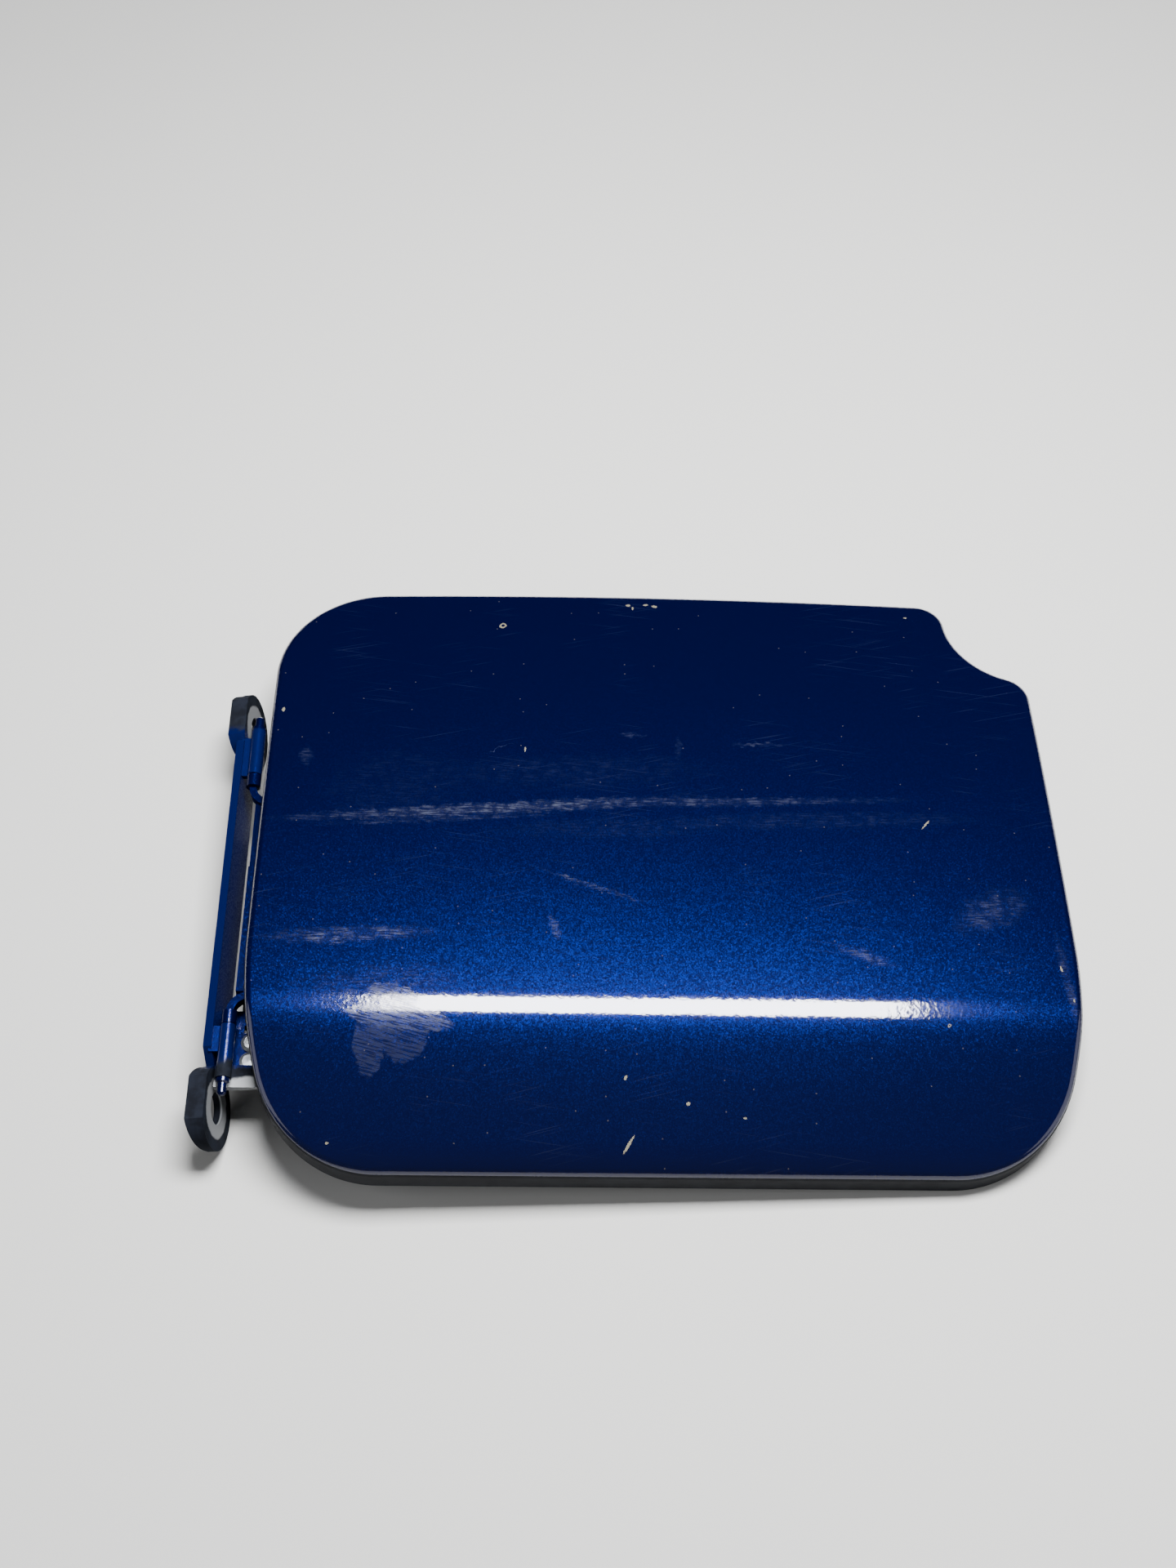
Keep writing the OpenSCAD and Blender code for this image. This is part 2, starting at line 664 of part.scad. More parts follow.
module spring_rivet(i) {
    spring_rivet_place(i) rivet(bracket_t + spring_t, small_rivet_d, small_head_d, small_head_h);
}
module striker_rivet_place(i) {
    striker_place() translate([-2, (i * 2 - 3) * striker_rivet_y, 0]) children();
}
module striker_rivet(i) {
    striker_rivet_place(i) translate([0, 0, inner_t]) rivet(inner_t + striker_t, rivet_d, rivet_head_d, rivet_head_h);
}

// Rubber buffers pushed into the inner panel's border
buffer_xy = [[half_w - buffer_in, -half_h + front_len + buffer_crease_in],
             [-half_w + buffer_in, half_h - buffer_left_in],
             [half_w - buffer_in, half_h - buffer_right_in], [buffer_front_x, -half_h + buffer_in]];
module buffer_place(i) {
    under_face(buffer_xy[i - 1][0], buffer_xy[i - 1][1], border_depth + inner_t) children();
}
module buffer(i) {
    color(rubber_black)
        buffer_place(i)
            rotate_extrude()
                polygon([[0, -buffer_h], [buffer_d / 2 - 0.6, -buffer_h], [buffer_d / 2, -buffer_h + 0.6],
                         [buffer_d / 2, -soft_gap], [buffer_stem_d / 2, -soft_gap],
                         [buffer_stem_d / 2, inner_t + 0.2], [buffer_stem_d / 2 + 0.6, inner_t + 0.5],
                         [buffer_stem_d / 2, inner_t + 1.4], [0, inner_t + 1.4]]);
}

// Anti-drum pads of mastic between the two panels
pad_xy = [[-pad_spread, half_h - pad_far_in], [pad_spread, half_h - pad_far_in],
          [0, -half_h + front_len + pad_crease_in]];
module antidrum_pad(i) {
    color(mastic_grey)
        pressed(skin_t + soft_gap / 2, field_depth - soft_gap / 2)
            translate(pad_xy[i - 1]) circle(d = pad_d, $fn = 32);
}

on_bench() {
    outer_panel();
    inner_panel();
    hinge_arm();
    hinge_bracket();
    leaf_spring();
    latch_striker();
    for (i = [1:2]) hinge_pin(i);
    for (i = [1:4]) arm_rivet(i);
    for (i = [1:2]) spring_rivet(i);
    for (i = [1:2]) striker_rivet(i);
    for (i = [1:4]) buffer(i);
    for (i = [1:3]) antidrum_pad(i);
}
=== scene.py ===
"""A car's fuel filler flap with its pressed-steel hinge, lying painted face up on a pale bench."""

import logging
import math
from dataclasses import dataclass, field
from enum import Enum, IntEnum

import bpy
from mathutils import Matrix, Vector, geometry


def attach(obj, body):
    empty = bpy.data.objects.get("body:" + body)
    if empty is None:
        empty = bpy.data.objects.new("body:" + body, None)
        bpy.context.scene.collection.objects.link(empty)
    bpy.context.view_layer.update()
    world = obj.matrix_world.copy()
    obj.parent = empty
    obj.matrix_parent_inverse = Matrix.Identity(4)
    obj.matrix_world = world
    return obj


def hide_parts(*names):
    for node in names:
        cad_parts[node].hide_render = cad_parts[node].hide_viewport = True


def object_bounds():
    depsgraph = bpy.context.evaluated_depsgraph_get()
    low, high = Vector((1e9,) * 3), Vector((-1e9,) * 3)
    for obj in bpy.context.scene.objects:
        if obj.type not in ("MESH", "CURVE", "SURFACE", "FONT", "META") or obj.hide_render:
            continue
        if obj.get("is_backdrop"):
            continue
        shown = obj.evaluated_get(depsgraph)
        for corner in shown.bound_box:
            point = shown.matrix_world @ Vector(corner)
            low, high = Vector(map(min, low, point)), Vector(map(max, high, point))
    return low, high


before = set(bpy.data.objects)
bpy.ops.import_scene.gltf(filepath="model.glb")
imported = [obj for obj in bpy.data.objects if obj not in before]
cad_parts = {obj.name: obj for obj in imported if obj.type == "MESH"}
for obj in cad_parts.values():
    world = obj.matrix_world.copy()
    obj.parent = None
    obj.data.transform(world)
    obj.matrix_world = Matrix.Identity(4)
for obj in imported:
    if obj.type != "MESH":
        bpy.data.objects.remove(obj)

log = logging.getLogger("filler_flap")
MM = 0.001
Vec = tuple[float, float, float]
Point = tuple[float, float]
Value = bpy.types.NodeSocket | float


class BodyName(Enum):
    """The two rigid bodies of the part."""

    BRACKET = "bracket"
    PANEL = "panel"


class Slot(Enum):
    """The record's material slot names."""

    BODY_PAINT = "body_paint"


class Side(IntEnum):
    """The faces of the pressed sheet, numbered as its materials are."""

    FACE = 0
    RIM = 1
    INSIDE = 2


@dataclass(frozen=True)
class PanelForm:
    """Sizes of the outer panel in millimetres and degrees, the same as the CAD's."""

    width: float = 180.0
    height: float = 149.0
    far_corner_r: float = 26.0
    front_corner_r: float = 27.0
    side_r: float = 120.0
    side_turn: float = 14.0
    far_bow_r: float = 1700.0
    notch_r: float = 19.0
    lip_r: float = 6.9
    notch_out: float = 1.3
    notch_below: float = 6.6
    skin_t: float = 0.8
    rim_depth: float = 7.0
    front_len: float = 32.0
    front_slope: float = 17.0
    crease_slope: float = -1.2
    crease_r: float = 21.0
    edge_r: float = 1.6
    # Slope that the light sees on the stamped crease, by distance from the middle: the real press radius
    # runs out softly to both sides, and the sheet rolls over into its front rim
    soft_crease: tuple[Point, ...] = (
        (-37.3, -1.2), (-38.6, 0.6), (-40.6, 5.2), (-43.0, 11.0), (-46.2, 14.4), (-49.4, 15.9),
        (-59.1, 17.6), (-67.5, 18.2), (-70.5, 23.0), (-72.9, 34.0), (-74.5, 40.0),
    )

    @property
    def half_w(self) -> float:
        """Half of the width."""
        return self.width / 2

    @property
    def half_h(self) -> float:
        """Half of the height."""
        return self.height / 2


@dataclass(frozen=True)
class HingeForm:
    """Hinge sizes that place the part on the bench and its paint, the same as the CAD's."""

    in_front: float = 10.3
    pin_out: float = 3.4
    pin_z: float = -1.0
    plate_gap: float = 3.2
    plate_rise: float = 0.3
    bracket_t: float = 1.8
    lean: float = 11.0
    eye_spacing: float = 94.6
    eye_d: float = 18.0
    eye_drop: float = 7.2
    front_shoulder: float = 11.3
    far_shoulder: float = 6.8


class FaceCurve:
    """Section of the painted face: a flat front part, a crease and a bowed far part."""

    margin: float = 1.0
    # Distance from the crease's middle up to which each step holds, and the step
    crease_steps: tuple[Point, ...] = ((5.0, 0.4), (9.0, 1.2))
    wide_step: float = 3.0

    def __init__(self, form: PanelForm) -> None:
        """Works out the arcs of the section.

        Args:
            form: the panel's sizes.
        """
        self.form = form
        a0, a1 = math.radians(form.crease_slope), math.radians(form.front_slope)
        self.crease_y = -form.half_h + form.front_len
        self.crease_z = form.front_len * math.tan(a1)
        run = form.crease_r * math.tan((a1 - a0) / 2)
        start = Vector((self.crease_y + run * math.cos(a0), self.crease_z + run * math.sin(a0)))
        chord = Vector((form.half_h - start.x, -start.y))
        self.crown_r = chord.length / (2 * math.sin(a0 - math.atan(chord.y / chord.x)))
        down = Vector((-math.sin(a0), math.cos(a0)))
        self.start = start
        self.crown = start - self.crown_r * down
        self.crease = start - form.crease_r * down
        self.crease_end = self.crease.x - form.crease_r * math.sin(a1)

    def z(self, y: float) -> float:
        """Height of the painted face.

        Args:
            y: distance from the panel's middle towards the far rim.

        Returns:
            The height over the chord of the face.
        """
        if y >= self.start.x:
            return self.crown.y + math.sqrt(self.crown_r**2 - (y - self.crown.x) ** 2)
        if y >= self.crease_end:
            return self.crease.y + math.sqrt(self.form.crease_r**2 - (y - self.crease.x) ** 2)
        return self.crease_z + (y - self.crease_y) * math.tan(math.radians(self.form.front_slope))

    def normal(self, y: float) -> Vector:
        """Direction square to the painted face, as the light sees it.

        Args:
            y: distance from the panel's middle towards the far rim.

        Returns:
            A unit vector in the panel's own frame.
        """
        knots = self.form.soft_crease
        if y >= knots[0][0]:
            a = math.asin((self.crown.x - y) / self.crown_r)
        else:
            a = math.radians(knots[-1][1])
            for (y1, s1), (y0, s0) in zip(knots, knots[1:]):
                if y0 <= y <= y1:
                    a = math.radians(s0 + (s1 - s0) * (y - y0) / (y1 - y0))
                    break
        return Vector((0.0, -math.sin(a), math.cos(a)))

    def stations(self) -> list[float]:
        """Distances along the section at which the face is drawn.

        Returns:
            Values of y, close together over the crease.
        """
        ys: list[float] = []
        middle = (self.start.x + self.crease_end) / 2
        y = -self.form.half_h + self.margin
        while y < self.form.half_h - self.margin:
            ys.append(y)
            off = abs(y - middle)
            y += next((step for reach, step in self.crease_steps if off < reach), self.wide_step)
        return ys


class Outline:
    """The panel's outline as a chain of tangent arcs, which can be set in by any distance."""

    corner_parts: int = 30
    side_parts: int = 12
    lip_parts: int = 24
    notch_parts: int = 40
    bow_parts: int = 24
    # Degrees left out at both ends of the far bow, where the neighbouring arcs already have a point
    bow_gap: float = 0.3
    straight_from: float = 12.0
    straight_side_parts: int = 24
    straight_front_parts: int = 36
    settling_rounds: int = 6

    def __init__(self, form: PanelForm) -> None:
        """Keeps the sizes.

        Args:
            form: the panel's sizes.
        """
        self.form = form

    @staticmethod
    def _way(a: Point, b: Point) -> float:
        """Direction from a to b in degrees."""
        return math.degrees(math.atan2(b[1] - a[1], b[0] - a[0]))

    @staticmethod
    def _arc(c: Point, r: float, a0: float, a1: float, n: int) -> list[Point]:
        """Points of one arc, from a0 to a1 in n steps."""
        turn = [math.radians(a0 + (a1 - a0) * i / n) for i in range(n + 1)]
        return [(c[0] + r * math.cos(t), c[1] + r * math.sin(t)) for t in turn]

    @staticmethod
    def _mirrored(points: list[Point]) -> list[Point]:
        """The same points on the hinge side."""
        return [(-x, y) for x, y in points]

    def points(self, d: float) -> list[Point]:
        """The outline set in by d, always with the same number of points.

        Args:
            d: how far the outline is set in, in millimetres.

        Returns:
            Points in order, without repeats, turning left.
        """
        f = self.form
        run, t = f.side_r - f.front_corner_r, math.radians(f.side_turn)
        big_c = (f.half_w - f.side_r, -f.half_h + f.front_corner_r + run * math.sin(t))
        small_c = (big_c[0] + run * math.cos(t), big_c[1] - run * math.sin(t))
        notch = (f.half_w + f.notch_out, f.half_h - f.notch_below)
        bow = (0.0, f.half_h - f.far_bow_r)
        r = f.lip_r - d
        k = f.notch_r + d + r
        ax = f.half_w - d - r
        lip_a = (ax, notch[1] - math.sqrt(k**2 - (notch[0] - ax) ** 2))
        bx = notch[0] - k
        for _ in range(self.settling_rounds):
            by = bow[1] + math.sqrt((f.far_bow_r - d - r) ** 2 - bx**2)
            bx = notch[0] - math.sqrt(k**2 - (notch[1] - by) ** 2)
        lip_b = (bx, by)
        corner_x = -f.half_w + f.far_corner_r
        corner = (corner_x, bow[1] + math.sqrt((f.far_bow_r - f.far_corner_r) ** 2 - corner_x**2))
        small, big = f.front_corner_r - d, f.side_r - d
        way, arc = self._way, self._arc
        chain = [
            arc(small_c, small, -90, -f.side_turn, self.corner_parts),
            arc(big_c, big, -f.side_turn, 0, self.side_parts),
            arc(lip_a, r, 0, way(lip_a, notch), self.lip_parts),
            arc(notch, f.notch_r + d, way(notch, lip_a) + 360, way(notch, lip_b) % 360, self.notch_parts),
            arc(lip_b, r, way(lip_b, notch), way(bow, lip_b), self.lip_parts),
            arc(bow, f.far_bow_r - d, way(bow, lip_b) + self.bow_gap, way(bow, corner) - self.bow_gap,
                self.bow_parts),
            arc(corner, f.far_corner_r - d, way(bow, corner), 180, self.corner_parts),
            self._mirrored(arc(big_c, big, 0, -f.side_turn, self.side_parts)),
            self._mirrored(arc(small_c, small, -f.side_turn, -90, self.corner_parts)),
        ]
        points: list[Point] = []
        for piece in chain:
            for p in piece:
                if not points or math.dist(points[-1], p) > 1e-6:
                    points.append(p)
        return self._fill_straights(points)

    def _fill_straights(self, points: list[Point]) -> list[Point]:
        """Adds evenly spaced points to the straight runs, the same number at every inset.

        Args:
            points: the outline's own points.

        Returns:
            All points, in order.
        """
        out: list[Point] = []
        for p, q in zip(points, points[1:] + points[:1]):
            out.append(p)
            parts = 1
            if math.dist(p, q) > self.straight_from:
                upright = abs(q[0] - p[0]) < 1.0
                parts = self.straight_side_parts if upright else self.straight_front_parts
            for j in range(1, parts):
                out.append((p[0] + (q[0] - p[0]) * j / parts, p[1] + (q[1] - p[1]) * j / parts))
        return out


@dataclass(frozen=True)
class Placement:
    """Where the panel's own frame lies on the bench."""

    face: FaceCurve
    hinge: HingeForm

    def plate_point(self, x: float, z: float) -> Point:
        """Turns a point of the leaning bracket plate's section into the panel's frame.

        Args:
            x: distance out of the plate's face, towards the flap.
            z: height over the plate's top edge.

        Returns:
            The point's x and z in the panel's frame, in millimetres.
        """
        h = self.hinge
        a = math.radians(h.lean)
        across, tall = -self.face.form.half_w - h.pin_out - h.plate_gap, h.pin_z + h.plate_rise
        return across + x * math.cos(a) - z * math.sin(a), tall + x * math.sin(a) + z * math.cos(a)

    @property
    def eye(self) -> Vector:
        """Centre of the front screw eye in the panel's frame, the row frame's origin."""
        h = self.hinge
        x, z = self.plate_point(-h.bracket_t / 2, -h.eye_drop)
        return Vector((x, -h.in_front - h.eye_spacing / 2, z))

    @property
    def tilt(self) -> float:
        """Angle by which the hinge end is propped up, in radians."""
        h, f = self.hinge, self.face.form
        x, z = self.plate_point(-h.bracket_t, -h.eye_drop - h.eye_d / 2)
        rim = (f.half_w - f.front_corner_r, self.face.z(-f.half_h) - f.rim_depth)
        return math.atan((rim[1] - z) / (rim[0] - x))

    def matrix(self) -> Matrix:
        """Turns millimetres in the panel's frame into metres in the row frame.

        Returns:
            A 4 by 4 matrix.
        """
        turn = Matrix.Rotation(self.tilt, 4, "Y")
        return Matrix.Scale(MM, 4) @ turn @ Matrix.Translation(-self.eye)

    def direction(self, v: Vec) -> Vector:
        """Turns a direction of the panel's frame into the row frame.

        Args:
            v: any vector in the panel's frame.

        Returns:
            A unit vector in the row frame.
        """
        return (Matrix.Rotation(self.tilt, 3, "Y") @ Vector(v)).normalized()


FACE = FaceCurve(PanelForm())
PLACE = Placement(FACE, HingeForm())


def colour(text: str) -> tuple[float, float, float, float]:
    """Turns an sRGB hex colour into Blender's linear one.

    Args:
        text: a colour such as "#1a2b3c".

    Returns:
        Linear red, green, blue and 1 for alpha.
    """
    parts = [int(text[i:i + 2], 16) / 255 for i in (1, 3, 5)]
    lin = [c / 12.92 if c <= 0.04045 else ((c + 0.055) / 1.055) ** 2.4 for c in parts]
    return lin[0], lin[1], lin[2], 1.0


class Graph:
    """Builds the nodes of one material or of the world, a step at a time."""

    def __init__(self, owner: bpy.types.Material | bpy.types.World) -> None:
        """Starts with no nodes.

        Args:
            owner: the material or world that carries the nodes.
        """
        self.owner = owner
        owner.use_nodes = True
        self.tree = owner.node_tree
        self.tree.nodes.clear()

    def add(self, kind: str, *first: object, out: int | str = 0, **named: object) -> bpy.types.NodeSocket:
        """Adds one node with its settings and links.

        Args:
            kind: the node's type without its ShaderNode prefix.
            *first: values or sockets for the node's first inputs, in order.
            out: which output is wanted.
            **named: a setting of the node when the name starts small, else an input by its name, with _
                for a space; i and a number mean the input of that number.

        Returns:
            The wanted output's socket.
        """
        node = self.tree.nodes.new("ShaderNode" + kind)
        inputs: list[tuple[int | str, object]] = list(enumerate(first))
        for name, value in named.items():
            if name[0] == "i" and name[1:].isdigit():
                inputs.append((int(name[1:]), value))
            elif name[0].isupper():
                inputs.append((name.replace("_", " "), value))
            else:
                setattr(node, name, value)
        for key, value in inputs:
            if isinstance(value, bpy.types.NodeSocket):
                self.tree.links.new(value, node.inputs[key])
            else:
                node.inputs[key].default_value = value
        return node.outputs[out]

    def finish(self, shader: bpy.types.NodeSocket) -> bpy.types.Material | bpy.types.World:
        """Connects the last shader.

        Args:
            shader: the socket that carries the whole finish.

        Returns:
            The finished material or world.
        """
        kind = "World" if isinstance(self.owner, bpy.types.World) else "Material"
        end = self.tree.nodes.new("ShaderNodeOutput" + kind)
        self.tree.links.new(shader, end.inputs["Surface"])
        return self.owner


@dataclass(frozen=True)
class Scuff:
    """One hazy patch worn into the clear coat, in the panel's frame."""

    x: float
    y: float
    rx: float
    ry: float
    turn: float
    strength: float
    hatched: bool = False


@dataclass(frozen=True)
class Chip:
    """One spot where the paint is broken through to the primer, in the panel's frame."""

    x: float
    y: float
    length: float
    width: float
    turn: float
    ring: bool = False


@dataclass(frozen=True)
class Streak:
    """Marks drawn out along one direction: their turn, length and width, and the noise that shows them."""

    turn: float
    length: float
    width: float
    detail: float
    shows: Point


@dataclass(frozen=True)
class WearLook:
    """How worn coat and broken paint look, in millimetres; each pair is where a mark starts and is full."""

    blot: float = 2.857143
    blot_shows: Point = (0.34, 0.62)
    ragged: float = 1.666667
    ragged_by: float = 2.4
    soft_edge: Point = (1.25, 0.35)
    hatched_edge: Point = (1.06, 0.92)
    rub: Streak = Streak(0.0, 4.5455, 0.38462, 3.0, (0.40, 0.66))
    hatch: Streak = Streak(14.0, 6.25, 0.344828, 2.0, (0.40, 0.54))
    # How much of a scuff's haze lies in its streaks, and how much is even
    rub_body: Point = (0.9, 0.1)
    hatch_body: Point = (0.75, 0.25)
    # Real hairlines are a few hundredths of a millimetre wide: drawn ten times as wide, so that they show
    hairs: tuple[Streak, Streak] = (
        Streak(8.0, 28.5714, 0.416667, 1.5, (0.66, 0.76)),
        Streak(-14.0, 25.0, 0.454545, 1.5, (0.66, 0.76)),
    )
    hair_area: float = 33.33333
    hair_shows: Point = (0.45, 0.66)
    haze: str = "#8a93a6"
    haze_roughness: float = 0.55
    haze_gloss: float = 0.2
    haze_cover: float = 0.075
    hair_cover: float = 0.011
    mirror_lost: float = 0.8
    roughness_gained: float = 0.25
    chip_ragged: float = 0.416667
    chip_ragged_by: float = 0.5
    chip_edge: Point = (0.98, 0.74)
    ring_edge: Point = (0.30, 0.62)
    chip_cover: float = 0.8
    chip_primer: str = "#5d5844"
    chip_roughness: float = 0.7
    speck_apart: float = 6.25
    speck_edge: Point = (0.032, 0.018)
    speck_share: Point = (0.78, 0.80)
    speck_cover: float = 0.16


@dataclass(frozen=True)
class PaintFinish:
    """A metallic paint under clear coat."""

    name: str
    flake: str = "#01041e"
    binder: str = "#000118"
    roughness: float = 0.29
    coat: float = 1.0
    coat_roughness: float = 0.07
    # A real flake is about 0.03 mm across: drawn larger, so that the grain shows
    grain_mm: float = 0.25
    flake_tip: float = 0.14
    wave_mm: float = 1.2
    wave_deep: float = 0.00006
    wave_strength: float = 0.34
    scuffs: tuple[Scuff, ...] = ()
    chips: tuple[Chip, ...] = ()
    look: WearLook = WearLook()


@dataclass(frozen=True)
class BracketFinish:
    """The bracket's coatings and where each one ends, in millimetres."""

    name: str
    paint: PaintFinish
    primer: str
    primer_and_shade_other: str
    bare: str
    primer_gloss: float = 0.02
    primer_roughness: float = 0.7
    bare_metallic: float = 0.3
    bare_roughness: float = 0.5
    cloud_mm: float = 2.857143
    cloud_shows: Point = (0.38, 0.62)
    edge_by: float = 5.0
    overspray: float = 3.5
    end_soft: float = 1.0
    # Full blue down to this depth on the plate; below it the blue is half mixed with the dark primer, as
    # painted shade of the gap towards the flap
    blue_down_to_painted_shade: float = 15.0
    down_soft: float = 2.5
    down_ragged: float = 0.4
    # Share of blue left below that depth: partly thin overspray, partly painted shade
    thin: float = 0.5
    ring_r: float = 6.4
    ring_soft: float = 0.3
    ring_ragged: float = 0.25
    face_depth: Point = (-0.5, -0.2)


@dataclass(frozen=True)
class PlainFinish:
    """A finish without flakes: primer, plated steel, rubber or mastic."""

    name: str
    base: str
    other: str
    roughness: float
    metallic: float = 0.0
    specular: float = 0.5
    grain_mm: float = 1.0
    bump_mm: float = 0.01
    cloud_grains: float = 8.333333
    cloud_shows: Point = (0.35, 0.65)


Finish = PaintFinish | BracketFinish | PlainFinish

SCUFFS = (
    Scuff(-56.5, -43.6, 11.5, 2.6, -6.0, 0.46, True),
    Scuff(-58.0, -38.6, 5.6, 2.6, -12.0, 0.34, True),
    Scuff(-62.6, -48.0, 3.3, 7.6, 3.0, 0.30, True),
    Scuff(-55.2, -46.6, 5.0, 6.0, -14.0, 0.27, True),
    Scuff(-38.0, 8.4, 46.0, 1.7, 4.4, 1.0),
    Scuff(10.0, 11.0, 44.0, 1.2, 2.0, 0.55),
    Scuff(-50.0, 5.2, 26.0, 0.7, 4.0, 0.45),
    Scuff(-68.0, -24.4, 18.0, 2.0, 3.5, 0.62),
    Scuff(-72.8, -25.8, 5.0, 1.2, 3.0, 1.0),
    Scuff(43.0, -27.8, 7.0, 1.4, -20.0, 0.45),
    Scuff(72.0, -16.5, 9.5, 4.6, 24.0, 0.42),
    Scuff(86.4, -33.0, 1.2, 11.0, 4.0, 0.45),
    Scuff(-16.5, -11.0, 13.0, 0.35, -19.5, 0.75),
    Scuff(-21.0, -9.6, 8.0, 0.30, -22.5, 0.60),
    Scuff(-14.5, -12.4, 9.0, 0.25, -18.0, 0.50),
    Scuff(23.5, 27.7, 5.5, 0.6, 0.0, 0.60),
    Scuff(-6.0, 29.9, 3.4, 0.7, 0.0, 0.45),
    Scuff(4.6, 26.0, 0.8, 3.4, -4.0, 0.40),
    Scuff(-36.4, 25.5, 3.6, 0.16, 27.0, 0.90),
    Scuff(-80.9, 22.1, 1.6, 2.6, 0.0, 0.40),
    Scuff(-24.0, -22.0, 1.0, 3.2, 20.0, 0.55),
    Scuff(-12.0, 3.5, 26.0, 3.0, 2.0, 0.12),
    Scuff(-20.0, 19.0, 34.0, 5.0, 3.0, 0.10),
    Scuff(34.0, 6.5, 40.0, 2.4, 2.0, 0.16),
    Scuff(-62.0, -36.0, 18.0, 5.0, 4.0, 0.16),
    Scuff(-60.0, 14.0, 18.0, 12.0, 10.0, 0.08),
)
CHIPS = (
    Chip(-36.7, 63.2, 2.1, 1.7, 30, True), Chip(-6.0, 70.9, 1.3, 0.8, 0), Chip(-4.9, 69.9, 0.5, 1.2, 0),
    Chip(-1.7, 71.2, 1.4, 0.6, 10), Chip(0.5, 70.7, 1.5, 0.9, -10), Chip(62.7, 68.7, 0.8, 0.6, 0),
    Chip(-87.3, 35.4, 0.8, 1.4, 0), Chip(60.0, 5.9, 3.4, 0.45, 50), Chip(-9.0, -55.1, 1.3, 0.55, 60),
    Chip(4.1, -60.1, 1.0, 0.8, 0), Chip(15.9, -62.8, 1.0, 0.4, 0), Chip(-8.3, -68.2, 4.8, 0.6, 58),
    Chip(59.7, -43.9, 1.0, 0.8, 20, True), Chip(-30.9, 25.0, 0.35, 1.7, 0), Chip(-78.0, -67.8, 0.7, 0.5, 0),
    Chip(-70.4, -68.5, 0.9, 0.4, 0), Chip(85.5, -30.5, 0.5, 1.6, 10), Chip(87.2, -38.0, 0.5, 0.9, 0),
)
# Sprayed metallic base under clear coat: the flakes glow deep blue round the lamp's mirror image, the clear
# coat mirrors the lamp itself in a hard white band, and rubbing turns both to a grey haze
BODY_PAINT = PaintFinish("metallic blue paint under clear coat", scuffs=SCUFFS, chips=CHIPS)
# The same paint, sprayed on the hinge arm and the pins in one thin pass: as blue, with softer mirror images
ARM_PAINT = PaintFinish("metallic blue paint on the hinge", flake="#010420", coat=0.6, coat_roughness=0.1)
# Overspray on the bracket: more binder than clear coat, so it stays blue where it faces away from the lamp
BRACKET_PAINT = PaintFinish("thin blue paint on the bracket", flake="#010420", binder="#02072a", coat=0.22,
                            coat_roughness=0.14)
# One dry coat on the inner sheet: an even satin blue without a sharp mirror image
INNER_PAINT = PaintFinish("thin blue paint on the inner sheet", flake="#03092a", binder="#04102e",
                          roughness=0.5, coat=0.8, coat_roughness=0.22)
# Dipped primer, almost black, which shows where the spray did not reach, and pale steel that the screw heads
# rubbed bare; the primer is this dark partly as painted shade of the deep gap between the plate and the flap
BRACKET_COAT = BracketFinish("blue paint, primer and bare steel on the bracket", BRACKET_PAINT,
                             primer="#0d0f14", primer_and_shade_other="#13161d", bare="#626467")
# Dipped primer inside the shadow of the rim: dark and dull, without flakes
RIM_PRIMER = PlainFinish("dark primer on the rim", "#15161a", "#1b1d21", 0.6, specular=0.04, grain_mm=0.6)
# Hardened and oiled strip: dark, with a soft metal sheen
SPRING_STEEL = PlainFinish("dark spring steel", "#1c1d20", "#26272b", 0.4, metallic=0.4, grain_mm=0.5)
# Plated in a bath: pale grey metal with a fine frosted grain
ZINC = PlainFinish("zinc-plated steel", "#8d9196", "#a3a7ab", 0.36, metallic=0.85, grain_mm=0.5)
# Moulded rubber: matt, nearly black
RUBBER = PlainFinish("black rubber", "#19191a", "#222223", 0.75, grain_mm=0.4)
# Mastic pressed on by hand: matt grey and slightly uneven
MASTIC = PlainFinish("grey mastic", "#4e5154", "#5a5d60", 0.8, grain_mm=0.8)


